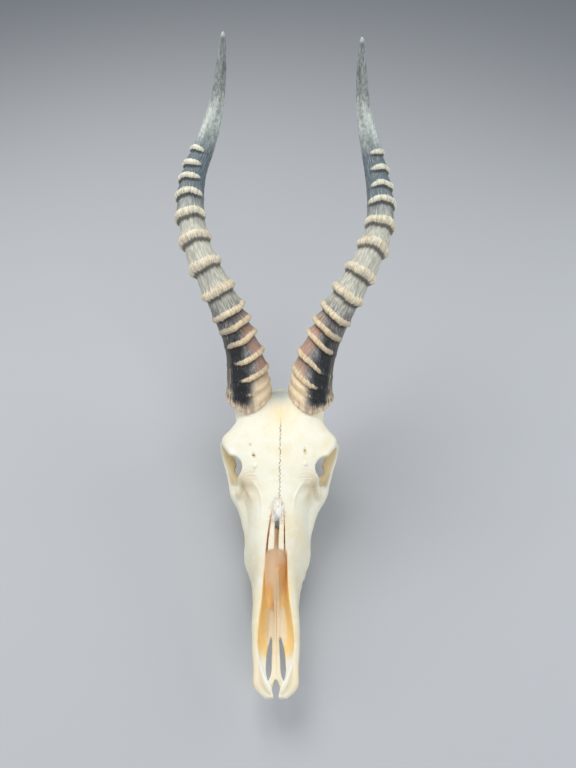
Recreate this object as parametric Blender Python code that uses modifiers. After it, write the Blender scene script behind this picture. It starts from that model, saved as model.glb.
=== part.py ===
"""Skull of an impala ram with both horns: a dry, bleached upper skull that rests on its teeth and heel bones.

The design is drawn in the skull's own frame, in millimetres: u runs from the tip of the nose to the back of
the head, x to the animal's left, and w up from the roof of the mouth. An empty then lays the skull on the
ground plane, nose forward along -Y, with the origin below the middle of its box.
"""

import bmesh
import bpy
import numpy as np
from math import cos, pi, radians, sin, tau
from mathutils import Matrix, Vector

MM = 0.001
GAP = 0.3                       # clearance between pieces that touch
NOSE_UP = radians(8.0)          # how far the resting skull leans back from level palate
ORIGIN_U = 234.4                # the point of the skull's frame that stands over the origin, along the head
ORIGIN_X = 2.8                  # and across it: the horns reach a little further on the animal's left
FLOOR_BELOW = 36.7              # how far the ground is under the frame's origin, once leaned

SIDES = (("left", 1), ("right", -1))

# ---- bones of the skull: stations (u, half width, lowest w, highest w, squareness, narrowing towards the top)
FACE = (
    (7.5, 11.0, 0.0, 5.0, 2.2, 0.0),
    (11, 14.8, -0.5, 7.0, 2.4, 0.0),
    (18, 18.7, -1.0, 11.0, 2.8, 0.0),
    (30, 18.7, -1.0, 15.0, 3.0, 0.0),
    (44, 20.3, -1.0, 20.0, 3.0, 0.03),
    (60, 21.2, -1.0, 28.0, 3.2, 0.05),
    (76, 21.2, -1.0, 36.0, 3.2, 0.15),
    (90, 21.4, -1.5, 44.0, 3.2, 0.22),
    (99, 22.4, -2.0, 50.0, 3.2, 0.30),
    (110, 28.8, -2.0, 58.0, 3.0, 0.42),
    (120, 34.4, -2.0, 64.0, 2.9, 0.46),
    (128, 36.6, -2.0, 68.5, 2.8, 0.44),
    (143, 35.0, -2.0, 76.0, 2.7, 0.34),
    (154, 35.0, -1.0, 82.0, 2.7, 0.20),
    (162, 37.0, 2.0, 86.0, 2.6, 0.08),
    (170, 37.0, 12.0, 90.0, 2.6, 0.0),
)
FOREHEAD = (
    (150, 22.0, 60.0, 79.0, 2.2, 0.0),
    (162, 31.0, 64.0, 86.5, 2.2, 0.0),
    (174, 37.5, 70.0, 93.5, 2.3, 0.0),
    (184, 44.0, 78.0, 98.5, 2.4, 0.0),
    (194, 50.5, 78.0, 103.5, 2.3, 0.0),
    (204, 56.0, 76.0, 108.0, 2.1, 0.0),
    (211, 51.5, 74.0, 111.0, 2.0, 0.0),
    (219, 42.5, 74.0, 114.5, 2.0, 0.0),
    (226, 42.5, 72.0, 116.5, 2.1, 0.0),
    (236, 42.0, 70.0, 118.0, 2.1, 0.0),
    (246, 38.0, 66.0, 115.5, 2.2, 0.0),
    (258, 33.5, 60.0, 106.0, 2.2, 0.0),
    (268, 26.0, 56.0, 94.0, 2.0, 0.0),
)
BRAINCASE = (
    (165, 15.0, 30.0, 84.0, 2.2, 0.0),
    (185, 19.0, 28.0, 94.0, 2.1, 0.0),
    (205, 25.0, 30.0, 102.0, 2.0, 0.0),
    (225, 31.5, 32.0, 108.0, 2.0, 0.0),
    (245, 34.0, 32.0, 108.0, 2.0, 0.0),
    (260, 34.0, 30.0, 102.0, 2.1, 0.1),
    (270, 30.0, 28.0, 92.0, 2.2, 0.2),
    (275, 24.0, 30.0, 84.0, 2.2, 0.2),
)
SKULL_BASE = (
    (168, 6.0, 30.0, 40.0, 2.0, 0.0),
    (200, 9.0, 24.0, 42.0, 2.2, 0.0),
    (230, 12.0, 20.0, 42.0, 2.4, 0.0),
    (258, 15.0, 18.0, 44.0, 2.6, 0.0),
    (276, 13.0, 20.0, 42.0, 2.4, 0.0),
)

# ---- the eye sockets: a ring of bone that looks outward and a little forward, round a tapering hollow
ORBIT_CENTRE = (191.5, 44.3, 70.5)
ORBIT_FORWARD = radians(27.5)   # how far the socket's axis turns from straight sideways towards the nose
ORBIT_LENGTH = 22.5             # radius of the ring's middle along the head, and the same upright
ORBIT_HEIGHT = 22.0
ORBIT_RIM_HALVES = (3.4, 3.8)   # half sizes of the ring's section, radial and along the axis
ORBIT_RIM_SIDES = 28
ORBIT_TAPER = ((-31, 7.0), (-16, 14.5), (0, 18.4), (14, 21.0), (40, 26.0))  # (place on the axis, radius)

# ---- rods of bone on each side: points (u, x, w) with the rod's half sizes across and upright
CHEEK_ARCH = (
    ((136, 25.0, 30.0), (4.0, 5.0)),
    ((147, 27.5, 35.0), (6.0, 9.0)),
    ((158, 31.0, 42.0), (6.0, 12.0)),
    ((167, 36.0, 44.0), (5.2, 11.0)),
    ((176, 43.0, 45.0), (3.8, 8.0)),
    ((190, 46.5, 45.0), (3.3, 6.0)),
    ((206, 50.0, 46.0), (3.0, 5.5)),
    ((222, 50.5, 45.5), (3.0, 5.0)),
    ((238, 45.0, 45.0), (3.2, 5.0)),
    ((252, 33.0, 46.0), (5.0, 6.0)),
)
WING_BONE = (
    ((166, 14.0, 8.0), (2.4, 8.0)),
    ((182, 12.5, 14.0), (2.2, 9.0)),
    ((202, 11.0, 24.0), (3.0, 7.0)),
)
HEEL_BONE = (
    ((256, 27.0, 44.0), (6.5, 9.0)),
    ((260, 28.0, 26.0), (4.5, 6.5)),
    ((264, 27.5, 10.0), (3.2, 4.6)),
    ((265.5, 27.0, 0.1), (2.6, 3.4)),
)
EAR_TUBE = (
    ((244, 26.0, 40.0), (7.0, 7.0)),
    ((242, 32.0, 41.0), (5.5, 5.5)),
    ((241, 36.5, 42.0), (4.5, 4.5)),
)
TOOTH_RIDGE = (
    ((84, 16.0, 4.0), (4.5, 6.0)),
    ((104, 17.8, 4.0), (5.0, 6.5)),
    ((126, 22.3, 4.0), (7.0, 6.5)),
    ((148, 24.3, 4.0), (7.5, 6.5)),
    ((168, 24.5, 5.0), (6.5, 6.5)),
)

# ---- round lumps on each side: centre (u, x, w) and half sizes (along u, x, w)
EAR_BULB = ((246, 20.0, 20.0), (11.0, 7.5, 13.0))
CONDYLE = ((277, 11.5, 31.0), (11.0, 9.0, 13.0))
TEMPLE = ((258, 22.0, 52.0), (15.0, 17.0, 17.0))

# ---- hollows: stations as for the bones, and rods as above
NOSE_HOLLOW = (
    (20, 5.0, 4.5, 20.0, 2.4, 0.0),
    (26, 9.5, 4.0, 24.0, 2.4, 0.0),
    (32, 12.3, 3.6, 28.0, 2.4, 0.0),
    (40, 14.2, 3.6, 34.0, 2.4, 0.0),
    (51, 15.0, 3.6, 42.0, 2.4, 0.0),
    (61, 13.8, 3.6, 52.0, 2.4, 0.0),
    (75, 11.6, 3.8, 66.0, 2.4, 0.0),
    (89, 10.4, 4.0, 82.0, 2.4, 0.0),
    (103, 9.4, 4.5, 100.0, 2.4, 0.0),
)
NOSE_PASSAGE = (
    (98, 9.6, 4.5, 52.0, 2.8, 0.0),
    (112, 14.0, 5.0, 53.5, 2.6, 0.3),
    (126, 17.0, 6.0, 60.0, 2.6, 0.35),
    (142, 15.0, 8.0, 60.0, 2.6, 0.2),
    (160, 9.5, 4.0, 34.0, 2.6, 0.0),
    (178, 8.0, -2.0, 27.0, 2.6, 0.0),
    (190, 7.0, -4.0, 20.0, 2.6, 0.0),
)
PALATE_SLIT = (
    ((19, 6.3, 2.0), (1.2, 9.0)),
    ((30, 6.4, 2.0), (2.0, 9.0)),
    ((45, 5.6, 2.0), (1.9, 9.0)),
    ((60, 3.6, 2.0), (1.1, 9.0)),
)
NOSE_NOTCH = (
    (0, 1.2, -9.0, 14.0, 4.0, 0.0),
    (9, 1.7, -9.0, 14.0, 4.0, 0.0),
    (14.5, 3.8, -9.0, 14.0, 4.0, 0.0),
    (22, 0.8, -9.0, 14.0, 4.0, 0.0),
)
NASAL_SPLIT = (
    (98, 2.1, 40.0, 70.0, 4.0, 0.0),
    (118, 2.0, 44.0, 80.0, 4.0, 0.0),
    (140, 0.9, 56.0, 88.0, 4.0, 0.0),
)

CHEEK_WINDOW = (
    ((198, 36.0, 70.0), (11.0, 8.0)),
    ((202, 37.0, 48.0), (14.0, 8.0)),
    ((206, 38.0, 24.0), (17.0, 9.0)),
    ((208, 38.0, 0.0), (18.0, 12.0)),
)
NAPE_HOLE = (
    (262, 6.0, 37.0, 51.0, 2.0, 0.0),
    (275, 9.0, 34.0, 55.0, 2.0, 0.0),
    (296, 11.0, 32.0, 58.0, 2.0, 0.0),
)
BROW_HOLE = ((176, 24.0, 99.0), (183, 22.0, 88.0))
BROW_HOLE_RADIUS = 2.2
CHEEK_HOLE = ((88, 26.0, 22.0), (100, 15.0, 24.0))
CHEEK_HOLE_RADIUS = 2.6
TEAR_PIT = ((150, 39.0, 62.0), (19.0, 7.0, 13.0))
BROW_NOTCH = ((180, 45.0, 84.0), (6.5, 8.5, 12.0))

# ---- horns: points (u, x, w) along the middle of each horn, from its base to its tip
HORN_PATHS = {
    "left": (
        (241.5, 28.5, 103.5), (251, 31.5, 131.5), (262.5, 37.5, 159), (273.5, 47.5, 184.5),
        (286, 61, 208), (303, 75.5, 228), (326.5, 88, 244), (351, 92.5, 259.5),
        (375, 89.5, 276.5), (394, 82.5, 298.5), (403, 74.5, 326), (407.5, 70, 355),
        (409.5, 67.5, 385.5),
    ),
    "right": (
        (241.5, -30.5, 103.5), (251, -32.5, 132), (262, -37, 159.5), (273, -47, 185),
        (285, -59.5, 209), (301.5, -73, 230), (324, -83, 246.5), (349.5, -87, 262.5),
        (374, -84, 279.5), (393, -73.5, 300), (402.5, -63.5, 326.5), (407, -57, 355.5),
        (409.5, -52.5, 388.5),
    ),
}
HORN_WIDTHS = (                 # (distance from the base, width across, depth front to back)
    (0, 45.5, 50.0), (12, 43.0, 48.0), (30, 40.0, 45.5), (58, 33.0, 38.0), (75, 30.0, 34.5),
    (108, 28.0, 32.0), (124, 26.5, 30.0), (150, 25.0, 28.0), (205, 24.5, 26.5), (220, 23.5, 25.0),
    (243, 21.0, 22.5), (263, 19.0, 20.0), (282, 17.0, 17.5), (300, 14.0, 14.5), (318, 12.2, 12.4),
    (335, 10.0, 10.0), (350, 7.2, 7.2), (357, 5.0, 5.0), (362, 2.0, 2.0),
)
RING_PLACES = {
    "left": (8.0, 18.0, 28.8, 44.3, 65.5, 79.5, 94.8, 115.5, 138, 164, 188, 210, 227, 245, 262),
    "right": (8.0, 19.5, 34.6, 50.5, 68, 82, 95.5, 116.3, 141, 166, 190, 211, 228, 243, 258.5),
}
RING_HEIGHT = 2.9
RING_HALF_LENGTH = 4.0
RING_CREST_HALF = 1.2
RING_SIZES_AT = (0, 16, 30, 120, 230, 262)
RING_SIZES = (0.35, 0.6, 0.9, 1.1, 0.95, 0.6)
LOW_RING_FACES = radians(35)    # the lowest rings stand out most towards the inner front
HIGH_RING_FACES = radians(-50)  # and the highest towards the outer front
HORN_SIDES = 14
SEAT = ((0, 0.5), (4, 0.9), (6.5, 3.5), (18, 3.5))  # (distance from the base, room round the bare horn)
RING_SLANTS = {                 # (distance from the base, how far the rings climb towards the inner side)
    "left": ((0, 0.0), (22, 8.0), (50, 9.6), (68, 5.5), (82, 3.8), (116, 1.5), (140, 0.0)),
    "right": ((0, 0.0), (22, 3.5), (50, 4.0), (68, 3.0), (82, 2.0), (116, 1.0), (140, 0.0)),
}
RIM_LIFT = 10.0                 # how far both sides of the horn's rim end short of its front and back
RIM_REACH = 26.0                # and the length of horn over which that curve fades

# ---- cheek teeth on each side: name, middle u, middle x, length along the jaw, breadth
TEETH = (
    ("premolar_1", 91.5, 17.2, 8.6, 6.5),
    ("premolar_2", 101.2, 17.8, 9.4, 8.2),
    ("premolar_3", 111.4, 18.9, 9.6, 9.8),
    ("molar_1", 123.6, 21.6, 13.4, 12.0),
    ("molar_2", 139.0, 23.6, 16.0, 13.5),
    ("molar_3", 156.0, 24.4, 16.6, 12.5),
)
CROWN_END = -14.0
GUM_LINE = -4.0
SOCKET_TOP = 5.0
TOOTH_SIDES = 12

# ---- how many sides the outlines have
BONE_SIDES = 28
ROD_SIDES = 10
HOLLOW_SIDES = 24

# ---- the fused bone's surface
BONE_GRAIN = 1.4 * MM           # voxel size that melts the bones together
BLEND_STEPS = 5
EDGE_STEPS = 2
BONE_KEPT = 0.0303              # share of the fine faces that is kept


def to_metres(u, x, w):
    return Vector((x, u, w)) * MM


def signed_power(value, power):
    return abs(value) ** power * (1 if value >= 0 else -1)


def add_cap(bm, loop):
    """Close a loop with a fan of triangles round its middle."""
    middle = bm.verts.new(sum((vert.co for vert in loop), Vector()) / len(loop))
    for here, after in zip(loop, loop[1:] + loop[:1]):
        bm.faces.new((here, after, middle))


def add_loft(bm, rings):
    """Join rings of equally many points by quads and close both ends."""
    loops = [[bm.verts.new(point) for point in ring] for ring in rings]
    for near, far in zip(loops, loops[1:]):
        for k in range(len(near)):
            after = (k + 1) % len(near)
            bm.faces.new((near[k], near[after], far[after], far[k]))
    add_cap(bm, loops[0][::-1])
    add_cap(bm, loops[-1])


def oval(half_width, low, high, square, narrowing, sides=BONE_SIDES):
    """Outline (x, w) of a squarish oval that narrows towards its top."""
    middle = (low + high) / 2
    half_height = (high - low) / 2
    outline = []
    for k in range(sides):
        angle = tau * k / sides
        rise = signed_power(sin(angle), 2 / square)
        x = half_width * (1 - narrowing * (1 + rise) / 2) * signed_power(cos(angle), 2 / square)
        outline.append((x, middle + half_height * rise))
    return outline


def add_stations(bm, stations):
    add_loft(bm, [[to_metres(u, x, w) for x, w in oval(*shape)] for u, *shape in stations])


def add_rod(bm, points, halves, side, sides=ROD_SIDES):
    """A rod with an oval section carried along points; halves are its half sizes, flat and upright."""
    path = [to_metres(u, x * side, w) for u, x, w in points]
    rings = []
    for k, point in enumerate(path):
        before = path[max(k - 1, 0)]
        after = path[min(k + 1, len(path) - 1)]
        along = (after - before).normalized()
        upright = Vector((0, 0, 1)) if abs(along.z) < 0.8 else Vector((0, 1, 0))
        flat = along.cross(upright).normalized()
        upright = flat.cross(along)
        thick, tall = halves[k]
        turn = [tau * n / sides for n in range(sides)]
        rings.append([point + flat * thick * MM * cos(a) + upright * tall * MM * sin(a) for a in turn])
    add_loft(bm, rings)


def add_side_rod(bm, rows, side):
    add_rod(bm, [point for point, _ in rows], [half for _, half in rows], side)


def add_lump(bm, centre, halves, side):
    u, x, w = centre
    along, across, up = halves
    place = Matrix.Translation(to_metres(u, x * side, w)) @ Matrix.Diagonal((across, along, up, 1))
    bmesh.ops.create_uvsphere(bm, u_segments=20, v_segments=12, radius=MM, matrix=place)


def add_drill(bm, ends, radius, side):
    add_rod(bm, ends, [(radius, radius)] * len(ends), side)


def orbit_axes(side):
    """The eye socket's centre and its directions: outward axis, along the head, and up."""
    outward = Vector((cos(ORBIT_FORWARD) * side, -sin(ORBIT_FORWARD), 0))
    along = Vector((sin(ORBIT_FORWARD) * side, cos(ORBIT_FORWARD), 0))
    u, x, w = ORBIT_CENTRE
    return to_metres(u, x * side, w), outward, along, Vector((0, 0, 1))


def add_orbit_rim(bm, side):
    """A ring of bone with an oval section, joined end to end."""
    centre, outward, along, up = orbit_axes(side)
    radial_half, axial_half = ORBIT_RIM_HALVES
    loops = []
    for k in range(ORBIT_RIM_SIDES):
        turn = tau * k / ORBIT_RIM_SIDES
        middle = along * ORBIT_LENGTH * cos(turn) + up * ORBIT_HEIGHT * sin(turn)
        radial = along * cos(turn) + up * sin(turn)
        loop = []
        for n in range(ROD_SIDES):
            angle = tau * n / ROD_SIDES
            offset = radial * radial_half * cos(angle) + outward * axial_half * sin(angle)
            loop.append(bm.verts.new(centre + (middle + offset) * MM))
        loops.append(loop)
    for near, far in zip(loops, loops[1:] + loops[:1]):
        for n in range(ROD_SIDES):
            after = (n + 1) % ROD_SIDES
            bm.faces.new((near[n], near[after], far[after], far[n]))


def add_orbit_hollow(bm, side):
    """Round outlines along the socket's axis, narrowing inward."""
    centre, outward, along, up = orbit_axes(side)
    rings = []
    turn = [tau * n / HOLLOW_SIDES for n in range(HOLLOW_SIDES)]
    for place, radius in ORBIT_TAPER:
        rings.append([centre + (outward * place + (along * cos(a) + up * sin(a)) * radius) * MM for a in turn])
    add_loft(bm, rings)


def skull_bones(bm):
    for stations in (FACE, FOREHEAD, BRAINCASE, SKULL_BASE):
        add_stations(bm, stations)
    for _, side in SIDES:
        add_orbit_rim(bm, side)
        for rows in (CHEEK_ARCH, WING_BONE, HEEL_BONE, EAR_TUBE, TOOTH_RIDGE):
            add_side_rod(bm, rows, side)
        for centre, halves in (EAR_BULB, CONDYLE, TEMPLE):
            add_lump(bm, centre, halves, side)


def skull_hollows(bm):
    for stations in (NOSE_HOLLOW, NOSE_PASSAGE, NOSE_NOTCH, NASAL_SPLIT, NAPE_HOLE):
        add_stations(bm, stations)
    for _, side in SIDES:
        for rows in (PALATE_SLIT, CHEEK_WINDOW):
            add_side_rod(bm, rows, side)
        add_orbit_hollow(bm, side)
        add_drill(bm, BROW_HOLE, BROW_HOLE_RADIUS, side)
        add_drill(bm, CHEEK_HOLE, CHEEK_HOLE_RADIUS, side)
        add_lump(bm, *TEAR_PIT, side)
        add_lump(bm, *BROW_NOTCH, side)


def smooth_path(points, count):
    """Points and directions at even steps along a smooth curve through the given points (Catmull-Rom)."""
    knots = np.array(points, float)
    ends = np.vstack((2 * knots[0] - knots[1], knots, 2 * knots[-1] - knots[-2]))
    fine = []
    for k in range(len(knots) - 1):
        a, b, c, d = ends[k:k + 4]
        for t in np.linspace(0, 1, 24, endpoint=False):
            fine.append(b + t * (c - a) / 2 + t * t * (a - 2.5 * b + 2 * c - d / 2)
                        + t ** 3 * (-a + 3 * b - 3 * c + d) / 2)
    fine = np.array(fine + [knots[-1]])
    reach = np.concatenate(([0], np.cumsum(np.linalg.norm(np.diff(fine, axis=0), axis=1))))
    steps = np.linspace(0, reach[-1], count)
    places = np.column_stack([np.interp(steps, reach, fine[:, axis]) for axis in range(3)])
    return steps, places


def ring_swell(name, distance, angle):
    """How far the rings stand out of the horn: each fades round the horn away from where it faces."""
    places = RING_PLACES[name]
    share = np.interp(distance, (places[0], places[-1]), (0, 1))
    faces = LOW_RING_FACES + share * (HIGH_RING_FACES - LOW_RING_FACES)
    fade = 0.25 + 0.75 * (0.5 + 0.5 * cos(angle - faces)) ** 0.8
    size = np.interp(distance, RING_SIZES_AT, RING_SIZES)
    nearest = min(abs(distance - place) for place in places)
    slope = (RING_HALF_LENGTH - nearest) / (RING_HALF_LENGTH - RING_CREST_HALF)
    return RING_HEIGHT * size * fade * min(max(slope, 0), 1)


def horn_stations(name):
    """Distances of the horn's outlines from its base: foot, crest and foot of each ring, then the tip."""
    stations = {0.0}
    places = RING_PLACES[name]
    for place in places:
        for step in (-RING_HALF_LENGTH, -RING_CREST_HALF, RING_CREST_HALF, RING_HALF_LENGTH):
            stations.add(place + step)
    stations.update(distance for distance, _, _ in HORN_WIDTHS if distance > places[-1] + RING_HALF_LENGTH)
    return sorted(station for station in stations if station >= 0)


def horn_rings(name, side, stations, room=None, lower=0.0):
    """Outlines of a horn: ovals square to its middle line, swollen at the rings.

    With room given for each outline, they are instead the outlines of the seat that the horn sits in.
    """
    steps, places = smooth_path(HORN_PATHS[name], 400)
    reach, across, deep = np.array(HORN_WIDTHS).T
    slant_at, slant = np.array(RING_SLANTS[name]).T
    stretch = steps[-1] / reach[-1]
    rings = []
    for n, station in enumerate(stations):
        distance = station * stretch
        grow = room[n] if room else 0.0
        here = np.array([np.interp(distance, steps, places[:, axis]) for axis in range(3)])
        ahead = np.array([np.interp(min(distance + 4, steps[-1]), steps, places[:, axis]) for axis in range(3)])
        back = np.array([np.interp(max(distance - 4, 0), steps, places[:, axis]) for axis in range(3)])
        along = Vector(ahead[[1, 0, 2]] - back[[1, 0, 2]]).normalized()
        outward = Vector((side, 0, 0))
        outward = (outward - along * outward.dot(along)).normalized()
        forward = along.cross(outward).normalized()
        if forward.y > 0:
            forward = -forward
        middle = Vector(here[[1, 0, 2]]) - along * lower
        half_across = np.interp(station, reach, across) / 2 + grow
        half_deep = np.interp(station, reach, deep) / 2 + grow
        ring = []
        for k in range(HORN_SIDES):
            angle = tau * k / HORN_SIDES
            swell = 0.0 if room else ring_swell(name, station, angle)
            point = middle - outward * (half_across + swell) * sin(angle)
            point += forward * (half_deep + swell) * cos(angle)
            point += along * RIM_LIFT * sin(angle) ** 2 * max(1 - station / RIM_REACH, 0)
            point += along * np.interp(station, slant_at, slant) * sin(angle)
            ring.append(point * MM)
        rings.append(ring)
    return rings


def tooth_rings(u, x, length, breadth, side, grow=0.0):
    """Outlines of a cheek tooth from socket to chewing edge: two rounded lobes, one behind the other."""
    levels = ((SOCKET_TOP, 0.72), (GUM_LINE, 0.92), (-9.0, 1.0), (CROWN_END, 0.94))
    rings = []
    for w, share in levels:
        ring = []
        for k in range(TOOTH_SIDES):
            angle = tau * k / TOOTH_SIDES
            waist = 1 - 0.14 * (0.5 + 0.5 * cos(4 * angle + pi)) * abs(sin(angle))
            du = (length / 2 * share + grow) * signed_power(cos(angle), 0.75)
            dx = (breadth / 2 * share * waist + grow) * signed_power(sin(angle), 0.75)
            top = grow if w == SOCKET_TOP else -grow
            ring.append(to_metres(u + du, (x + dx) * side, w + top))
        rings.append(ring)
    return rings


def material(name, colour, roughness):
    made = bpy.data.materials.new(name)
    made.use_nodes = True
    shader = made.node_tree.nodes["Principled BSDF"]
    shader.inputs["Base Color"].default_value = (*colour, 1)
    shader.inputs["Roughness"].default_value = roughness
    shader.inputs["Metallic"].default_value = 0.0
    return made


def mesh_object(name, bm, collection, frame, surface=None):
    bmesh.ops.recalc_face_normals(bm, faces=bm.faces)
    mesh = bpy.data.meshes.new(name)
    bm.to_mesh(mesh)
    bm.free()
    made = bpy.data.objects.new(name, mesh)
    made.parent = frame
    collection.objects.link(made)
    if surface:
        mesh.materials.append(surface)
        mesh.shade_smooth()
        mesh.set_sharp_from_angle(angle=radians(50))
    else:
        made.hide_render = True
        made.display_type = "WIRE"
    return made


def melt(owner, label):
    remesh = owner.modifiers.new(label, "REMESH")
    remesh.mode = "VOXEL"
    remesh.voxel_size = BONE_GRAIN


def soften(owner, label, steps):
    smooth = owner.modifiers.new(label, "SMOOTH")
    smooth.factor = 0.5
    smooth.iterations = steps


def cut(owner, cutter, label):
    boolean = owner.modifiers.new(label, "BOOLEAN")
    boolean.operation = "DIFFERENCE"
    boolean.solver = "EXACT"
    boolean.object = cutter


def make_skull(collection, cutters, frame, surface):
    """Melt the bones into one, hollow it, thin out its faces, then cut the seats of the teeth and horns."""
    bones = bmesh.new()
    skull_bones(bones)
    skull = mesh_object("skull", bones, collection, frame, surface)
    melt(skull, "melt bones")
    soften(skull, "blend bones", BLEND_STEPS)

    hollows = bmesh.new()
    skull_hollows(hollows)
    hollow = mesh_object("skull hollows", hollows, cutters, frame)
    melt(hollow, "melt hollows")
    cut(skull, hollow, "hollow out")
    melt(skull, "melt edges")
    soften(skull, "soften edges", EDGE_STEPS)
    thin = skull.modifiers.new("fewer faces", "DECIMATE")
    thin.ratio = BONE_KEPT

    seats = bmesh.new()
    for name, side in SIDES:
        places, room = zip(*SEAT)
        add_loft(seats, horn_rings(name, side, places, room, lower=GAP))
        for _, *place in TEETH:
            add_loft(seats, tooth_rings(*place, side, grow=GAP + 0.05))
    seat = mesh_object("seats", seats, cutters, frame)
    cut(skull, seat, "seats of horns and teeth")


def make_horn(name, side, collection, frame, surface):
    bm = bmesh.new()
    add_loft(bm, horn_rings(name, side, horn_stations(name)))
    mesh_object(name + "_horn", bm, collection, frame, surface)


def make_teeth(name, side, collection, frame, surface):
    for label, *place in TEETH:
        bm = bmesh.new()
        add_loft(bm, tooth_rings(*place, side))
        mesh_object(f"{name}_{label}", bm, collection, frame, surface)


def make_frame():
    """The empty that leans the skull's frame back on its rests and sets it over the origin."""
    frame = bpy.data.objects.new("skull frame", None)
    frame.rotation_euler = (-NOSE_UP, 0, 0)
    frame.location = (-ORIGIN_X * MM, -ORIGIN_U * MM, FLOOR_BELOW * MM)
    return frame


def main():
    for old in list(bpy.data.objects):
        bpy.data.objects.remove(old)
    parts = bpy.data.collections.new("impala skull with horns")
    cutters = bpy.data.collections.new("cutters")
    for collection in (parts, cutters):
        bpy.context.scene.collection.children.link(collection)
    frame = make_frame()
    parts.objects.link(frame)
    bone = material("bleached bone", (0.80, 0.73, 0.60), 0.55)
    horn = material("ringed horn", (0.26, 0.20, 0.14), 0.45)
    enamel = material("tooth enamel", (0.72, 0.66, 0.52), 0.3)
    make_skull(parts, cutters, frame, bone)
    for name, side in SIDES:
        make_horn(name, side, parts, frame, horn)
        make_teeth(name, side, parts, frame, enamel)


main()
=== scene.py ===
# %% [markdown]
# # The skull and horns of an impala ram
# The photograph shows a dry upper skull with both ringed horns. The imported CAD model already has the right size
# and the right main shapes. This lesson dresses it: each plain solid gets a finely modelled piece that stands
# for it, and each piece gets a finish made from nodes alone.

# %% Load the frame
from math import cos, pi, radians, sin, tau

import bpy
import numpy as np
from mathutils import Matrix, Vector


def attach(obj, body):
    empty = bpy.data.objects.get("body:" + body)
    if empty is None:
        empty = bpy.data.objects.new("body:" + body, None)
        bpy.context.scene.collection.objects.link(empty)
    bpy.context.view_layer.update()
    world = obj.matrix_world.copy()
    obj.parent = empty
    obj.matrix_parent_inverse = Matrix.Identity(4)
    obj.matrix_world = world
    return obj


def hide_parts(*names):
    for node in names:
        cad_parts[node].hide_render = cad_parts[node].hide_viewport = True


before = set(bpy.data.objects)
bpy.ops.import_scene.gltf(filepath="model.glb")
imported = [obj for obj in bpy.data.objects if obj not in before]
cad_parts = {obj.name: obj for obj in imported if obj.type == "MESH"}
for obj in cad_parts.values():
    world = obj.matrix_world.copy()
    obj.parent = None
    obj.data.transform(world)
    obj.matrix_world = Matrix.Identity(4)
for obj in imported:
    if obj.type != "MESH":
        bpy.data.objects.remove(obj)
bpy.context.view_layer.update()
MM = 0.001

# %% [markdown]
# ## The skull's own frame
# A skull is easiest to describe along its own length, so every number below is in millimetres in the skull's
# frame: x to the animal's left, u from the nose to the back of the head, w up from the roof of the mouth. The
# resting skull leans back by 8 degrees, with its nose up, and one function turns such points into the row frame
# in metres.

# %% From the skull's frame to the row frame
NOSE_UP = radians(8.0)
ORIGIN = (2.8, 234.4, 36.7)     # x and u of the point over the row's origin, and the ground's depth below it
SIDES = {"left": 1, "right": -1}    # the sign of x on each side of the animal


def to_row(points):
    """Points (x, u, w) in mm, leaned back about the x axis, moved over the origin, in metres."""
    x, u, w = np.moveaxis(np.asarray(points, float), -1, 0)
    y = u * cos(NOSE_UP) + w * sin(NOSE_UP) - ORIGIN[1]
    z = w * cos(NOSE_UP) - u * sin(NOSE_UP) + ORIGIN[2]
    return np.stack((x - ORIGIN[0], y, z), axis=-1) * MM


print("nose tip lies at", to_row((0, 7.5, 2)).round(4))

# %% [markdown]
# ## Camera
# The photograph looks along the face from above the nose. Its view was found by matching the outline of the
# skull: 162.6 mm in front of where u starts, 501 mm above the roof of the mouth, looking 47.5 degrees off level
# in the skull's frame, with a slight roll. The lens is given by a focal length of 577 pixels on a photograph 768
# pixels high.

# %% Camera
LOOK_DOWN = radians(47.5)
ROLL = radians(0.65)
FOCAL_PIXELS = 577
PHOTO_HEIGHT = 768
SENSOR = 36.0
CAMERA_PLACE = (6.8, -162.55, 500.95)   # x, u, w
NEAREST_SEEN = 0.01


def photo_camera():
    """Axes of the camera as columns: right, up and back, turned by the roll, then leaned with the skull."""
    level_up = np.array((0, cos(LOOK_DOWN), sin(LOOK_DOWN)))
    ahead = np.array((0, sin(LOOK_DOWN), -cos(LOOK_DOWN)))
    across = np.array((1, 0, 0))
    up = level_up * cos(ROLL) - across * sin(ROLL)
    right = across * cos(ROLL) + level_up * sin(ROLL)
    lean = Matrix.Rotation(-NOSE_UP, 3, "X")
    axes = [lean @ Vector(axis) for axis in (right, up, -ahead)]
    matrix = Matrix(axes).transposed().to_4x4()
    matrix.translation = Vector(to_row(CAMERA_PLACE))
    return matrix


camera_data = bpy.data.cameras.new("photo view")
camera_data.sensor_width = SENSOR
camera_data.lens = SENSOR * FOCAL_PIXELS / PHOTO_HEIGHT
camera_data.clip_start = NEAREST_SEEN
camera = bpy.data.objects.new("photo view", camera_data)
bpy.context.scene.collection.objects.link(camera)
camera.matrix_world = photo_camera()
bpy.context.scene.camera = camera
print("lens", round(camera_data.lens, 2), "mm")

# %% [markdown]
# ## Floor and light
# Bone and horn show their form in soft light that comes mostly from one side. A wide lamp overhead and a little
# behind grazes the rings of the horns from the side of their tips, as in the photograph, and three weaker lamps
# fill the front and both sides. The floor is plain and pale.

# %% Floor and lamps
LAMPS = (                       # (name, place in m, size in m, watts, colour)
    ("overhead softbox", (-0.30, 0.45, 1.15), 0.8, 9.9, (1.0, 0.985, 0.96)),
    ("front fill", (0.40, -0.95, 0.95), 0.8, 6.4, (0.98, 0.985, 1.0)),
    ("left fill", (0.95, 0.10, 0.50), 0.6, 3.4, (0.96, 0.98, 1.0)),
    ("right fill", (-0.95, -0.25, 0.50), 0.6, 3.2, (0.98, 0.985, 1.0)),
)
LAMPS_LOOK_AT = (0, 0, 0.1)     # the middle of the skull, in m
SKY_COLOUR = (0.84, 0.91, 1.0, 1)
SKY_STRENGTH = 0.32
FLOOR_HALF = 4.0


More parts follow.
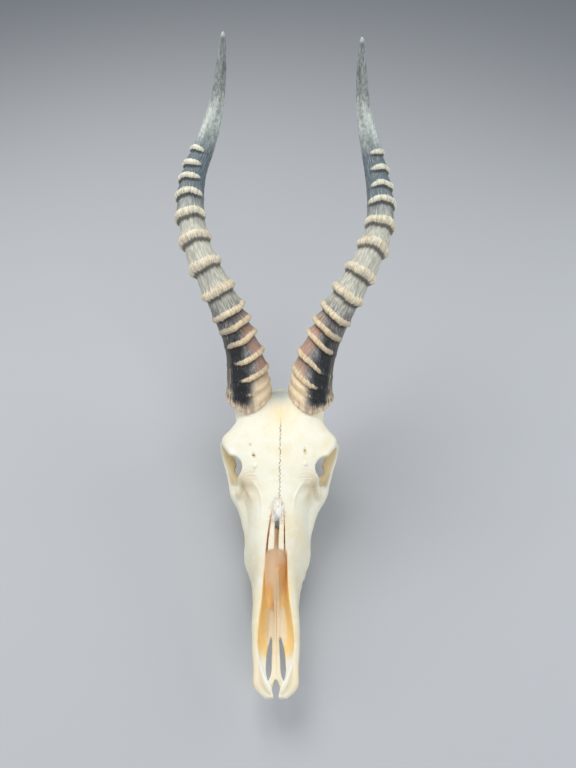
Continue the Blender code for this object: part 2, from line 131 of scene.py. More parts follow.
def add_lamp(name, place, size, watts, colour):
    """A square lamp that looks at the middle of the skull."""
    data = bpy.data.lights.new(name, "AREA")
    data.size = size
    data.energy = watts
    data.color = colour
    lamp = bpy.data.objects.new(name, data)
    bpy.context.scene.collection.objects.link(lamp)
    lamp.location = place
    look = Vector(LAMPS_LOOK_AT) - Vector(place)
    lamp.rotation_euler = look.to_track_quat("-Z", "Y").to_euler()


for lamp_facts in LAMPS:
    add_lamp(*lamp_facts)

world = bpy.data.worlds.new("studio")
world.use_nodes = True
sky = world.node_tree.nodes["Background"]
sky.inputs["Color"].default_value = SKY_COLOUR
sky.inputs["Strength"].default_value = SKY_STRENGTH
bpy.context.scene.world = world
bpy.context.scene.view_settings.view_transform = "Standard"

floor_mesh = bpy.data.meshes.new("floor")
floor_corners = [(x * FLOOR_HALF, y * FLOOR_HALF, 0) for x, y in ((-1, -1), (1, -1), (1, 1), (-1, 1))]
floor_mesh.from_pydata(floor_corners, [], [(0, 1, 2, 3)])
floor = bpy.data.objects.new("floor", floor_mesh)
bpy.context.scene.collection.objects.link(floor)
print(len(LAMPS), "lamps over a floor of", 2 * FLOOR_HALF, "m")

# %% [markdown]
# ## Helpers for surfaces made with numpy
# A horn or a tooth is a closed tube: rows of points, each row a loop. One helper joins such a grid into faces,
# closes both ends with a fan round a middle point, and turns all faces outwards.

# %% Closed tubes


def tube_faces(rows, columns):
    """Quads of a grid whose columns close into loops, and fans to two poles numbered after the grid."""
    index = np.arange(rows * columns).reshape(rows, columns)
    after = np.roll(index, -1, axis=1)
    quads = np.stack((index[:-1], after[:-1], after[1:], index[1:]), axis=-1).reshape(-1, 4)
    first, last = rows * columns, rows * columns + 1
    start = np.stack((after[0], index[0], np.full(columns, first)), axis=-1)
    end = np.stack((index[-1], after[-1], np.full(columns, last)), axis=-1)
    return quads, np.concatenate((start, end))


def with_poles(values):
    """A grid's values as one list, with the means of its first and last rows added as poles."""
    flat = values.reshape(-1, *values.shape[2:])
    return np.concatenate((flat, values[0].mean(axis=0)[None], values[-1].mean(axis=0)[None]))


def volume(points, quads, triangles):
    """Six times the signed volume: the sum of a . (b x c) over all triangles."""
    tris = np.concatenate((quads[:, :3], quads[:, [0, 2, 3]], triangles)).astype(int)
    a, b, c = (points[tris[:, k]] for k in range(3))
    return np.einsum("ij,ij->", a, np.cross(b, c))


def closed_tube(grid):
    """The points of a tube with its two poles, its quads and its fans, all turned outwards."""
    quads, fans = tube_faces(*grid.shape[:2])
    points = with_poles(grid)
    if volume(points, quads, fans) < 0:
        quads, fans = quads[:, ::-1], fans[:, ::-1]
    return points, quads, fans


print("a tube of 3 rows and 4 columns has", len(tube_faces(3, 4)[0]), "quads and", len(tube_faces(3, 4)[1]),
      "triangles at its ends")

# %% [markdown]
# Two more helpers turn any array of points and faces into an object that rides on the body, keeps its place in
# its mesh, and carries measured values as attributes that the finish can read.
#
# The snout of the real skull is not straight: seen from the front it bends a little to the animal's right. All
# measures stay symmetrical, and the finished points of the bone and the teeth are bent by one function.

# %% From arrays to pieces
BEND = np.array((               # (u, how far the points there move towards the animal's left)
    (0, 0.0), (30, -0.5), (60, -1.4), (90, -2.0), (115, -1.7), (135, -1.2), (200, -0.8), (290, 0.0),
)).T


def fill_mesh(name, points, quads, triangles):
    """A mesh from arrays of points, quads and triangles, written with foreach_set."""
    mesh = bpy.data.meshes.new(name)
    corners = np.concatenate((quads.ravel(), triangles.ravel())).astype(np.int32)
    sizes = np.concatenate((np.full(len(quads), 4), np.full(len(triangles), 3)))
    starts = (np.cumsum(sizes) - sizes).astype(np.int32)
    mesh.vertices.add(len(points))
    mesh.vertices.foreach_set("co", to_row(points).astype(np.float32).ravel())
    mesh.loops.add(len(corners))
    mesh.loops.foreach_set("vertex_index", corners)
    mesh.polygons.add(len(sizes))
    mesh.polygons.foreach_set("loop_start", starts)
    mesh.update(calc_edges=True)
    mesh.validate()
    mesh.shade_smooth()
    return mesh


def bent(points):
    """The points (x, u, w) moved sideways by an amount that depends on u alone."""
    moved = np.array(points, float)
    moved[..., 0] += np.interp(moved[..., 1], *BEND)
    return moved


def add_piece(name, mesh, node, values):
    """An object for the mesh that stands for a CAD node and carries per-point values as attributes."""
    for label, numbers in values.items():
        layer = mesh.attributes.new(label, "FLOAT", "POINT")
        layer.data.foreach_set("value", np.ascontiguousarray(numbers, np.float32).ravel())
    piece = bpy.data.objects.new(name, mesh)
    bpy.context.scene.collection.objects.link(piece)
    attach(piece, "root")
    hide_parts(node)
    mesh.calc_loop_triangles()
    print(name, "has", len(mesh.loop_triangles), "triangles")
    return piece


print("the snout bends by up to", -BEND[1].min(), "mm")

# %% [markdown]
# Two small functions of numbers serve all pieces: a smooth step, and a wave that runs round a loop and meets
# itself again. Nature's unevenness is made with such waves, and their seeds keep every run the same.

# %% Steps and waves


def smooth_step(value, low, high):
    """0 below low, 1 above high, and 3t^2 - 2t^3 between them."""
    t = np.clip((value - low) / (high - low), 0, 1)
    return t * t * (3 - 2 * t)


def ripple(angle, seed, lowest, highest, count=7):
    """A wave of random whole-number frequencies round a loop, between about -1 and 1."""
    chance = np.random.default_rng(seed)
    turns = chance.integers(lowest, highest, count)
    phases = chance.uniform(0, tau, count)
    return np.sin(np.asarray(angle)[..., None] * turns + phases).sum(axis=-1) / count ** 0.5


print("smooth steps:", smooth_step(np.array((0.0, 0.25, 0.5, 0.75, 1.0)), 0, 1))

# %% [markdown]
# ## The horns
# An impala's horn is a sheath of keratin that grows in spurts, and each spurt leaves a ring. Near the base the
# rings climb towards the inner side and die away on the outer one, and further up they stand out in front and
# die away behind. The last 100 mm are smooth.
#
# It could be sculpted by hand, but a profile carried along a curve is exact and easy to change: the
# middle line is a Catmull-Rom curve through measured points, each outline is an oval square to it, and the rings
# are added as a relief of two parameters, the distance from the base and the angle round the horn.

# %% Measures of the horns
HORN_PATHS = {                  # points (x, u, w) along the middle of each horn, from its base to its tip
    "left": (
        (28.5, 241.5, 103.5), (31.5, 251, 131.5), (38.4, 262.5, 159), (49.3, 273.5, 184.5), (63.2, 286, 208),
        (77.6, 303, 228), (88.4, 326.5, 244), (91.4, 351, 259.5), (88.7, 375, 276.5), (82.2, 394, 298.5),
        (74.5, 402.7, 326), (70, 407, 355), (67.5, 408.9, 385.5),
    ),
    "right": (
        (-30.5, 241.5, 103.5), (-32.5, 251, 132), (-37.7, 262, 159.5), (-47.6, 273, 185), (-59.5, 285, 209),
        (-73, 301.5, 230), (-82.2, 324, 246.5), (-85.9, 349.5, 262.5), (-83.3, 374, 279.5), (-73.3, 393, 300),
        (-63.5, 402.2, 326.5), (-57, 406.5, 355.5), (-52.5, 408.9, 388.5),
    ),
}
HORN_WIDTHS = np.array((        # (distance from the base, width across, depth front to back)
    (0, 45.5, 50.0), (12, 43.0, 48.0), (30, 39.6, 45.0), (58, 31.6, 37.0), (75, 28.7, 33.5),
    (108, 27.2, 31.4), (124, 26.3, 29.8), (150, 25.0, 28.0), (205, 24.5, 26.5), (220, 23.5, 25.0),
    (243, 21.0, 22.5), (263, 19.0, 20.0), (282, 17.0, 17.5), (300, 14.0, 14.5), (318, 11.6, 11.8),
    (335, 9.1, 9.2), (350, 6.4, 6.4), (357, 4.7, 4.7), (360.4, 3.2, 3.2), (361.6, 1.9, 1.9), (362, 0.8, 0.8),
)).T
HORN_LENGTH = 362.0
RING_PLACES = {
    "left": (8.0, 18.0, 28.8, 44.3, 65.5, 79.5, 94.8, 115.5, 138, 164, 188, 210, 227, 245, 262),
    "right": (8.0, 19.5, 34.6, 50.5, 68, 82, 95.5, 116.3, 141, 166, 190, 211, 228, 243, 258.5),
}
RING_SLANTS = {                 # (distance from the base, how far a ring climbs towards the inner side)
    "left": np.array(((0, 0.0), (22, 8.0), (50, 9.6), (68, 5.5), (82, 3.8), (116, 1.5), (140, 0.0))).T,
    "right": np.array(((0, 0.0), (22, 3.5), (50, 4.0), (68, 3.0), (82, 2.0), (116, 1.0), (140, 0.0))).T,
}
RING_HEIGHTS = np.array((       # (distance from the base, how far a ring there stands out)
    (0, 0.5), (12, 0.8), (20, 1.3), (29, 2.7), (34, 3.3), (50, 4.2), (95, 4.3), (125, 3.7), (190, 3.2),
    (240, 2.6), (262, 2.0),
)).T
RING_SHARES = np.array(((8, 0.45), (20, 0.62), (29, 1.0), (262, 1.0))).T     # the lowest rings are worn faint
RING_HALVES = np.array(((0, 1.9), (30, 2.6), (90, 3.0), (120, 3.7), (190, 3.8), (215, 3.1), (262, 2.7))).T
RING_FACING = np.array((        # (distance from the base, degrees from the front towards the inner side)
    (0, 56), (30, 54), (46, 50), (60, 44), (100, 25), (150, -5), (200, -26), (228, -38), (262, -46),
)).T
RING_REACH = np.array((         # (distance from the base, degrees that a ring reaches to each side of there)
    (0, 64), (30, 64), (46, 67), (66, 82), (80, 94), (100, 104), (150, 122), (200, 108), (228, 84), (262, 68),
)).T
RIM_LIFT = (1.5, 9.5)           # how far the rim lies up the horn in front, and how much more at its sides
RIM_REACH = 26.0                # the length of horn over which that lift fades
print("rings:", {side_name: len(places) for side_name, places in RING_PLACES.items()})

# %% [markdown]
# A Catmull-Rom curve passes through all its knots, so the measured points stay where they are, and it needs no
# handles. Square to the curve, each outline needs two more directions: outward, and forward to the face.

# %% The middle line of a horn
CURVE_PARTS = 24                # straight parts between two knots of the curve
SIGHT = 4                       # mm before and behind a point, between which its direction is taken


def catmull_rom(knots, starts, t):
    """Points at share t of the spans that start at the numbered knots.

    Between knots b and c, with neighbours a and d, the place is half of
    2b + (c - a) t + (2a - 5b + 4c - d) t^2 + (3b - a - 3c + d) t^3. Both ends are carried on straight.
    """
    longer = np.vstack((2 * knots[0] - knots[1], knots, 2 * knots[-1] - knots[-2]))
    a, b, c, d = (longer[starts + k] for k in range(4))
    return (2 * b + (c - a) * t + (2 * a - 5 * b + 4 * c - d) * t ** 2 + (3 * b - a - 3 * c + d) * t ** 3) / 2


def along_curve(knots, distances):
    """Points at the given distances along the Catmull-Rom curve through the knots."""
    knots = np.array(knots, float)
    t = np.linspace(0, 1, CURVE_PARTS, endpoint=False)[None, :, None]
    fine = catmull_rom(knots, np.arange(len(knots) - 1)[:, None], t)
    fine = np.vstack((fine.reshape(-1, 3), knots[-1]))
    reach = np.concatenate(([0], np.cumsum(np.linalg.norm(np.diff(fine, axis=0), axis=1))))
    stretched = np.asarray(distances) * reach[-1] / HORN_LENGTH
    return np.stack([np.interp(stretched, reach, fine[:, axis]) for axis in range(3)], axis=-1)


def horn_axes(name, distances):
    """The middle line's points and, at each, the unit directions along the horn, outward and forward."""
    side = SIDES[name]
    knots = HORN_PATHS[name]
    middle = along_curve(knots, distances)
    along = along_curve(knots, distances + SIGHT) - along_curve(knots, distances - SIGHT)
    along /= np.linalg.norm(along, axis=1, keepdims=True)
    outward = np.array((side, 0, 0)) - along * along[:, :1] * side
    outward /= np.linalg.norm(outward, axis=1, keepdims=True)
    forward = np.cross(along, outward)
    forward *= -np.sign(forward[:, 1:2])
    return middle, along, outward, forward


for side_name, path in HORN_PATHS.items():
    print("the", side_name, "horn ends at", along_curve(path, [HORN_LENGTH])[0].round(1))

# %% [markdown]
# A ring isn't a plain bulge. Towards the base it ends in a steep lip over a groove, and towards the tip it runs
# out in a long slope. Its crest wanders, is beaded by the fibres of the horn, and sinks back into the surface
# behind. The lowest rings are also worn.

# %% The relief of the rings
CREST_POWERS = (3.4, 1.9)       # how steeply a crest falls towards the base and towards the tip
RING_FADE = (0.65, 0.35)        # radians before and after its reach, between which a ring fades
FADED = 0.9                     # the share of its height that a ring loses there


def ring_relief(name, distance, angle):
    """How far the rings stand out, how much each point is a crest, and how much it lies under one.

    With t the distance from a ring's middle over its half thickness, its crest is exp(-|t|^p). Under it lies
    a groove round t = -1.7, and a wider bell in t carries both. The ring grows lower and thinner round the
    horn beyond its reach from the angle that it faces.
    """
    relief = np.zeros(np.broadcast(distance, angle).shape)
    crest = np.zeros_like(relief)
    under = np.zeros_like(relief)
    for number, place in enumerate(RING_PLACES[name]):
        facing = radians(np.interp(place, *RING_FACING))
        reach = radians(np.interp(place, *RING_REACH))
        turn = np.abs((angle - facing + pi) % tau - pi)
        fade = 1 - smooth_step(turn, reach - RING_FADE[0], reach + RING_FADE[1]) * FADED
        half = np.interp(place, *RING_HALVES) * (0.45 + 0.55 * fade)
        half = half * (1 + 0.08 * ripple(angle, number + 30, 5, 26))
        wander = 0.6 * ripple(angle, number * 7 + len(name), 2, 6) + 0.17 * ripple(angle, number + 50, 9, 34)
        t = (distance - place - wander) / half
        low = np.exp(-np.abs(np.minimum(t, 0)) ** CREST_POWERS[0])
        high = np.exp(-np.abs(np.maximum(t, 0)) ** CREST_POWERS[1])
        beads = 1 + 0.07 * ripple(angle + 0.05 * t, number + 90, 24, 78, 14)
        slope = np.exp(-(np.maximum(t, 0) / 2.5) ** 2 - (np.minimum(t, 0) / 1.7) ** 2)
        groove = 0.34 * np.exp(-((t + 1.7) / 0.7) ** 2)
        relief += np.interp(place, *RING_HEIGHTS) * fade * (0.62 * beads * low * high + 0.42 * slope - groove)
        seen = fade * np.interp(place, *RING_SHARES)
        crest = np.maximum(crest, seen * np.exp(-np.abs(t) ** 6))
        # the band just below a ring, which the finish darkens as painted shadow with some dirt
        under = np.maximum(under, seen * np.exp(-((t + 1.45) / 0.55) ** 2))
    return relief, crest, under


front = ring_relief("left", np.arange(0, HORN_LENGTH)[:, None], np.zeros((1, 1)))[0]
print("the rings stand out by up to", round(float(front.max()), 1), "mm in front")

# %% [markdown]
# The sheath is open at its base, where it fits over the bony core. So the outlines start inside, run down to the
# thin, frayed rim and turn out over it. The rim is higher at both sides than in front, because the base of the
# horn straddles the round forehead.

# %% Build the horns
HORN_COLUMNS = 168
SPACINGS = ((0.0, 272, 0.72), (272, 357, 1.7))  # (from, to, step): fine where there are rings, coarse on the tip
END_ROWS = 8                    # outlines on the last few millimetres
INNER_WALL = np.array((         # (distance, share of the width): the inside of the open base, down to its rim
    (11.0, 0.72), (6.0, 0.80), (2.0, 0.86), (0.4, 0.91), (-0.3, 0.96),
)).T


def make_horn(name):
    """Points of the horn by distance and angle: middle - outward a sin(angle) + forward b cos(angle).

    The angle is 0 in front and grows towards the inner side. Each outline also climbs along the horn, where
    its ring slants and where the rim is lifted or frayed.
    """
    end = np.linspace(SPACINGS[-1][1], HORN_LENGTH, END_ROWS)
    outer = np.concatenate([*(np.arange(*spacing) for spacing in SPACINGS), end])
    distance = np.concatenate((INNER_WALL[0], outer))
    share = np.concatenate((INNER_WALL[1], np.ones(len(outer))))
    angle = np.linspace(0, tau, HORN_COLUMNS, endpoint=False)[None]
    middle, along, outward, forward = horn_axes(name, distance)
    rows = distance[:, None]
    relief, crest, under = ring_relief(name, rows, angle)
    outside = (share == 1)[:, None]
    waist = np.interp(rows, (0, 3, 8), (-0.5, 0, 0))
    fibres = ripple(angle + 0.05 * np.sin(rows / 11), 17 + len(name), 18, 56, 16)
    fibres = fibres * np.interp(rows, (0, 9, 300), (0.26, 0.10, 0.0))
    swell = np.where(outside, relief + waist + fibres, 0)
    half_across = np.interp(rows, HORN_WIDTHS[0], HORN_WIDTHS[1] / 2) * share[:, None] + swell
    half_deep = np.interp(rows, HORN_WIDTHS[0], HORN_WIDTHS[2] / 2) * share[:, None] + swell
    fray = 0.6 * ripple(angle, 5 + len(name), 9, 44, 14) * np.clip(1 - rows / 5, 0, 1)
    rim = RIM_LIFT[0] + RIM_LIFT[1] * np.abs(np.sin(angle)) ** 1.5
    slant = np.interp(rows, *RING_SLANTS[name]) * np.sin(angle)
    climb = rim * np.clip(1 - rows / RIM_REACH, 0, 1) + slant + fray
    points = middle[:, None] + along[:, None] * climb[..., None]
    points = points - outward[:, None] * (half_across * np.sin(angle))[..., None]
    points = points + forward[:, None] * (half_deep * np.cos(angle))[..., None]
    values = {
        "crest": crest * outside,
        "under": under * outside,
        "distance": rows / HORN_LENGTH + 0 * crest,
        "inward": np.sin(angle) + 0 * crest,
        "frontal": np.cos(angle) + 0 * crest,
    }
    return points, {label: with_poles(value) for label, value in values.items()}


horns = []
for side_name in SIDES:
    horn_points, horn_values = make_horn(side_name)
    horn_mesh = fill_mesh(side_name + " horn sheath", *closed_tube(horn_points))
    horns.append(add_piece(side_name + "_horn_sheath", horn_mesh, side_name + "_horn", horn_values))

# %% [markdown]
# ## The cheek teeth
# Grazing animals have tall cheek teeth with crescent-shaped folds. Each is a closed tube again: its wall is an
# oval with upright ribs on the cheek side, which is pinched into two lobes on a molar. The rows then run inward
# over the chewing surface, which sinks into a dark crescent in each lobe, inside a ridge of enamel.

# %% Build the teeth
TEETH = (                       # name, middle u, middle x, length along the jaw, breadth
    ("premolar_1", 91.5, 17.2, 8.6, 6.5),
    ("premolar_2", 101.2, 17.8, 9.4, 8.2),
    ("premolar_3", 111.4, 18.9, 9.6, 9.8),
    ("molar_1", 123.6, 21.6, 13.4, 12.0),
    ("molar_2", 139.0, 23.6, 16.0, 13.5),
    ("molar_3", 156.0, 24.4, 16.6, 12.5),
)
TOOTH_COLUMNS = 84
WALL_LEVELS = np.array((        # (w, share of the tooth's outline)
    (5.0, 0.70), (1.0, 0.84), (-2.5, 0.90), (-3.6, 0.93), (-5.5, 0.97), (-8.0, 1.0), (-10.5, 0.99), (-12.4, 0.96),
    (-13.1, 0.93), (-13.5, 0.88),
))
WALL_STEP = 0.3                 # rows of the wall, as a share of the way between two levels
CHEWED_W = -13.3
CHEWED_ROWS = 26
ROUNDNESS = 0.78                # 1 gives an oval, and less than 1 a box with round corners


def signed_power(value, power):
    """A power of the number's size, with the number's own sign."""
    return np.sign(value) * np.abs(value) ** power


def tooth_outline(angle, molar):
    """Unit outline: a rounded box, pinched between two lobes on the tongue side, with ribs on the cheek side."""
    along = signed_power(np.cos(angle), ROUNDNESS)
    across = signed_power(np.sin(angle), ROUNDNESS)
    pinch = (0.20 if molar else 0.04) * np.exp(-(along / 0.28) ** 2) * (across < 0)
    ribs = 0.07 * sum(np.exp(-((along - place) / 0.13) ** 2) for place in (-0.82, -0.05, 0.78))
    return along, across * (1 - pinch) + ribs * (across > 0)


def chewing_relief(along, across, molar):
    """Depth of the chewed surface: a bowed valley in each lobe, inside a ridge of enamel round the rim."""
    lobes = ((-0.46, 0.36), (0.46, 0.36)) if molar else ((0.0, 0.62),)
    depth = np.zeros(along.shape)
    for middle, half in lobes:
        bow = 0.05 - 0.38 * ((along - middle) / half) ** 2
        depth += 1.5 * np.exp(-((across - bow - 0.08) / 0.16) ** 2) * np.exp(-((along - middle) / half) ** 4)
    ridge = 0.55 * np.exp(-((np.hypot(along, across) - 0.9) / 0.10) ** 2)
    return depth - ridge


def make_tooth(u, x, length, breadth, side, molar):
    """Points of the tooth: rows down its wall, then rows that shrink to the middle of the chewing surface."""
    angle = np.linspace(0, tau, TOOTH_COLUMNS, endpoint=False)[None]
    along, across = tooth_outline(angle, molar)
    last = len(WALL_LEVELS) - 1
    steps = np.arange(0, last + 0.01, WALL_STEP)
    heights, walls = (np.interp(steps, np.arange(last + 1), column) for column in WALL_LEVELS.T)
    levels = np.concatenate((heights, np.full(CHEWED_ROWS, CHEWED_W)))
    share = np.concatenate((walls, np.linspace(0.85, 0.02, CHEWED_ROWS)))[:, None]
    chewed = (np.arange(len(levels)) >= len(walls))[:, None]
    depth = np.where(chewed, chewing_relief(along * share, across * share, molar), 0)
    points = np.empty((len(levels), TOOTH_COLUMNS, 3))
    points[..., 0] = (x + breadth / 2 * across * share) * side
    points[..., 1] = u + length / 2 * along * share
    points[..., 2] = levels[:, None] + depth
    pit = np.clip(depth / 1.5, 0, 1) * chewed
    return points, {"pit": with_poles(pit)}


teeth = []
for side_name, side in SIDES.items():
    for label, *place in TEETH:
        tooth_points, tooth_values = make_tooth(*place, side, "pre" not in label)
        flat, quads, fans = closed_tube(tooth_points)
        tooth_mesh = fill_mesh(f"{side_name} {label}", bent(flat), quads, fans)
        node = f"{side_name}_{label}"
        teeth.append(add_piece(node + "_crown", tooth_mesh, node, tooth_values))

# %% [markdown]
# ## The skull
# The skull is one grown bone with rounded joins, thin bars and deep hollows, so no grid of two parameters can
# follow it. It is made another way: as a field of numbers on a grid of points, which says at each point how far
# the bone's surface is, negative inside. Bones are joined by a smooth minimum, which leaves a fillet as real bone
# has, and hollows are taken away by a smooth maximum. The surface where the field is zero is then netted with
# one point in every grid cell that it crosses. The measures are those of the CAD model, with finer detail. The
# grid is closer in the middle of the face, where the bones are thin.

# %% The field's grid
X_AXIS = np.concatenate((np.arange(-61.6, -19.8, 1.0), np.arange(-19.8, 19.9, 0.55), np.arange(20.8, 61.7, 1.0)))
U_AXIS = np.concatenate((np.arange(4.0, 200.0, 0.8), np.arange(200.9, 291.0, 1.1)))
W_AXIS = np.arange(-7.0, 123.0, 0.85)
OUTSIDE = 30.0
field = np.full((len(X_AXIS), len(U_AXIS), len(W_AXIS)), OUTSIDE, np.float32)
print("grid of", field.size, "points")


def window(low, high):
    """The part of the grid between two corners (x, u, w), and its coordinates ready to be broadcast."""
    cuts = []
    for axis, start, end in zip((X_AXIS, U_AXIS, W_AXIS), low, high):
        cuts.append(slice(max(np.searchsorted(axis, start) - 1, 0), np.searchsorted(axis, end) + 1))
    x = X_AXIS[cuts[0], None, None].astype(np.float32)
    u = U_AXIS[None, cuts[1], None].astype(np.float32)
    w = W_AXIS[None, None, cuts[2]].astype(np.float32)
    return tuple(cuts), x, u, w


def smooth_min(first, second, width):
    """The lesser of two, rounded where they are closer than the width: mix(b, a, h) - width h (1 - h)."""
    share = np.clip(0.5 + 0.5 * (second - first) / width, 0, 1)
    return second + (first - second) * share - width * share * (1 - share)


# %% [markdown]
# Four kinds of building block are enough. A block of stations is an outline that changes along the head, a rod
# is an oval carried along a curve, a lump is an ellipsoid, and a ring is the rim of an eye socket. Each is a
# class of its own with two methods: its box, and its field at any points.
#
# The stations come first. Their measures are softened along the head by a bell, so that the outline has no
# corners where it changes from one station to the next.

# %% Stations
LEAST_Q = 0.02                  # keeps 1/q finite in the very middle of a block
SOFT_STEP = 0.5                 # mm between the measures that are softened
SOFT_REACH = 6.0                # mm to each side over which they are softened
SOFT_HALF = 2.4                 # half width of the bell


def from_surface(reach, q):
    """The distance from a surface where q is 1: r (1 - 1/q), r being the distance from the block's middle."""
    return reach * (1 - 1 / np.maximum(q, LEAST_Q))


class Stations:
    """Squarish ovals along u: rows of (u, half width, lowest w, highest w, squareness, narrowing upward).

    With X and W the place in the oval, from -1 to 1, q is (|X|^n + |W|^n)^(1/n), n being the squareness.
    """

    def __init__(self, rows):
        self.rows = np.array(rows, float).T

    def box(self, room):
        half = self.rows[1].max() + room
        low = (-half, self.rows[0].min() - room, self.rows[2].min() - room)
        return low, (half, self.rows[0].max() + room, self.rows[3].max() + room)

    def measures(self, u):
        """Half width, lowest w, highest w, squareness and narrowing at u, softened along the head."""
        fine = np.arange(self.rows[0][0], self.rows[0][-1] + SOFT_STEP, SOFT_STEP)
        bell = np.exp(-(np.arange(-SOFT_REACH, SOFT_REACH + 0.1, SOFT_STEP) / SOFT_HALF) ** 2)
        margin = len(bell) // 2
        for values in self.rows[1:]:
            line = np.interp(fine, self.rows[0], values)
            before = 2 * line[0] - line[margin:0:-1]
            after = 2 * line[-1] - line[-2:-margin - 2:-1]
            padded = np.concatenate((before, line, after))
            soft = np.convolve(padded, bell / bell.sum(), "valid") if len(line) > len(bell) + 1 else line
            yield np.interp(u, fine, soft).astype(np.float32)

    def at(self, x, u, w):
        half, low, high, square, narrowing = self.measures(u)
        tall = (high - low) / 2
        rise = (w - (low + high) / 2) / tall
        wide = half * (1 - narrowing * (1 + np.clip(rise, -1, 1)) / 2)
        q = ((np.abs(x) / wide) ** square + np.abs(rise) ** square) ** (1 / square)
        ends = np.maximum(self.rows[0][0] - u, u - self.rows[0][-1])
        return np.maximum(from_surface(np.hypot(x, rise * tall), q), ends)


print("the bell spans", 2 * SOFT_REACH, "mm along the head")

# %% [markdown]
# A rod is good for arches, bars, ridges and also for slits and drilled holes. Its oval has one half size lying
# flat and one upright. A lump serves for knobs and for rounded pits.

# %% Rods and lumps


class Rod:
    """An oval carried along a smooth curve: rows of ((u, x, w), (half size flat, half size upright))."""

    def __init__(self, rows, side=1, parts=4):
        points = np.array([(x * side, u, w) for (u, x, w), _ in rows], float)
        halves = np.array([half for _, half in rows], float)
        share = np.linspace(0, len(rows) - 1, (len(rows) - 1) * parts + 1)
        start = np.minimum(share.astype(int), len(rows) - 2)
        self.path = catmull_rom(points, start, (share - start)[:, None])
        self.halves = np.stack([np.interp(share, np.arange(len(rows)), halves[:, k]) for k in range(2)], axis=-1)

    def box(self, room):
        reach = self.halves.max() + room
        return self.path.min(axis=0) - reach, self.path.max(axis=0) + reach

    def at(self, x, u, w):
        nearest = np.float32(OUTSIDE)
        for k in range(len(self.path) - 1):
            nearest = np.minimum(nearest, self.span(k, x, u, w))
        return nearest

    def span(self, k, x, u, w):
        """One straight span: the offset from its nearest point, split into flat, upright and along."""
        start, end = self.path[k], self.path[k + 1]
        length = np.linalg.norm(end - start)
        along = (end - start) / length
        upright = np.array((0, 0, 1.0)) if abs(along[2]) < 0.8 else np.array((0, 1.0, 0))
        flat = np.cross(along, upright)
        flat /= np.linalg.norm(flat)
        upright = np.cross(flat, along)
        off = (x - start[0], u - start[1], w - start[2])
        run = sum(part * axis for part, axis in zip(off, along))
        t = np.clip(run / length, 0, 1)
        thick, tall = (self.halves[k, j] + (self.halves[k + 1, j] - self.halves[k, j]) * t for j in (0, 1))
        sideways = sum(part * axis for part, axis in zip(off, flat))
        rise = sum(part * axis for part, axis in zip(off, upright))
        past = run - t * length
        least = np.minimum(thick, tall)
        q = np.sqrt((sideways / thick) ** 2 + (rise / tall) ** 2 + (past / least) ** 2)
        return from_surface(np.sqrt(sideways ** 2 + rise ** 2 + past ** 2), q)


class Lump:
    """An ellipsoid: centre (u, x, w) and half sizes along u, x and w."""

    def __init__(self, centre, halves, side=1):
        u, x, w = centre
        self.centre = np.array((x * side, u, w))
        self.halves = np.array((halves[1], halves[0], halves[2]), float)

    def box(self, room):
        return self.centre - self.halves - room, self.centre + self.halves + room

    def at(self, x, u, w):
        off = [part - middle for part, middle in zip((x, u, w), self.centre)]
        q = np.sqrt(sum((part / half) ** 2 for part, half in zip(off, self.halves)))
        return from_surface(np.sqrt(sum(part ** 2 for part in off)), q)


print("a ball of 5 mm, seen from 8 mm:", round(float(Lump((0, 0, 0), (5, 5, 5)).at(8, 0, 0)), 2), "mm away")

# %% [markdown]
# An impala's eyes look sideways and a little forward. Each socket has a ring of bone that stands out all round
# it, broad and flat behind and below the eye, and a hollow that narrows inward. Both are written in coordinates
# of the socket's own, measured from its middle.

# %% The eye sockets
ORBIT_CENTRE = (44.3, 191.5, 70.5)  # x, u, w
ORBIT_FORWARD = radians(27.5)   # how far its axis is turned to the front
ORBIT_RADIUS = (22.5, 22.0)     # along the head and upright
ORBIT_RIM = (3.4, 3.8)          # half sizes of the rim, radial and along the axis
ORBIT_SQUARENESS = 2.8          # of the rim's section
ORBIT_ROOM = 27                 # half of the box round a socket, along the head and upright
ORBIT_DEPTH = 14                # and what it needs across the head besides its lean
ORBIT_TAPER = np.array((        # (distance outward along the axis, radius of the hollow)
    (-40, 1.5), (-31, 5.5), (-16, 14.5), (0, 18.4), (14, 21.0), (40, 26.0),
)).T


class Orbit:
    """Coordinates of one eye socket: outward along its axis, then along the head and up across it."""

    def __init__(self, side):
        self.side = side

    def box(self, room):
        x, u, w = ORBIT_CENTRE
        reach = ORBIT_ROOM + room
        across = reach * 0.6 + ORBIT_DEPTH
        return (x * self.side - across, u - reach, w - reach), (x * self.side + across, u + reach, w + reach)

    def turned(self, x, u, w):
        off_x = x * self.side - ORBIT_CENTRE[0]
        off_u = u - ORBIT_CENTRE[1]
        outward = off_x * cos(ORBIT_FORWARD) - off_u * sin(ORBIT_FORWARD)
        along = off_x * sin(ORBIT_FORWARD) + off_u * cos(ORBIT_FORWARD)
        return outward, along, w - ORBIT_CENTRE[2]


class OrbitRim(Orbit):
    """A ring with a squarish section, which widens inward to a flat strap behind and below the eye."""

    def at(self, x, u, w):
        outward, along, up = self.turned(x, u, w)
        radial = np.hypot(along * ORBIT_RADIUS[1] / ORBIT_RADIUS[0], up) - ORBIT_RADIUS[1]
        strap = smooth_step((0.8 * along - 0.6 * up) / ORBIT_RADIUS[1], -0.2, 0.5)
        behind = smooth_step(along / ORBIT_RADIUS[1], -0.1, 0.6)
        thick = ORBIT_RIM[0] - 0.4 * strap
        broad = ORBIT_RIM[1] + 1.5 * strap + 0.8 * behind
        off = outward + 1.9 * strap + 0.9 * behind
        power = ORBIT_SQUARENESS
        q = (np.abs(radial / thick) ** power + np.abs(off / broad) ** power) ** (1 / power)
        return from_surface(np.hypot(radial, off), q)


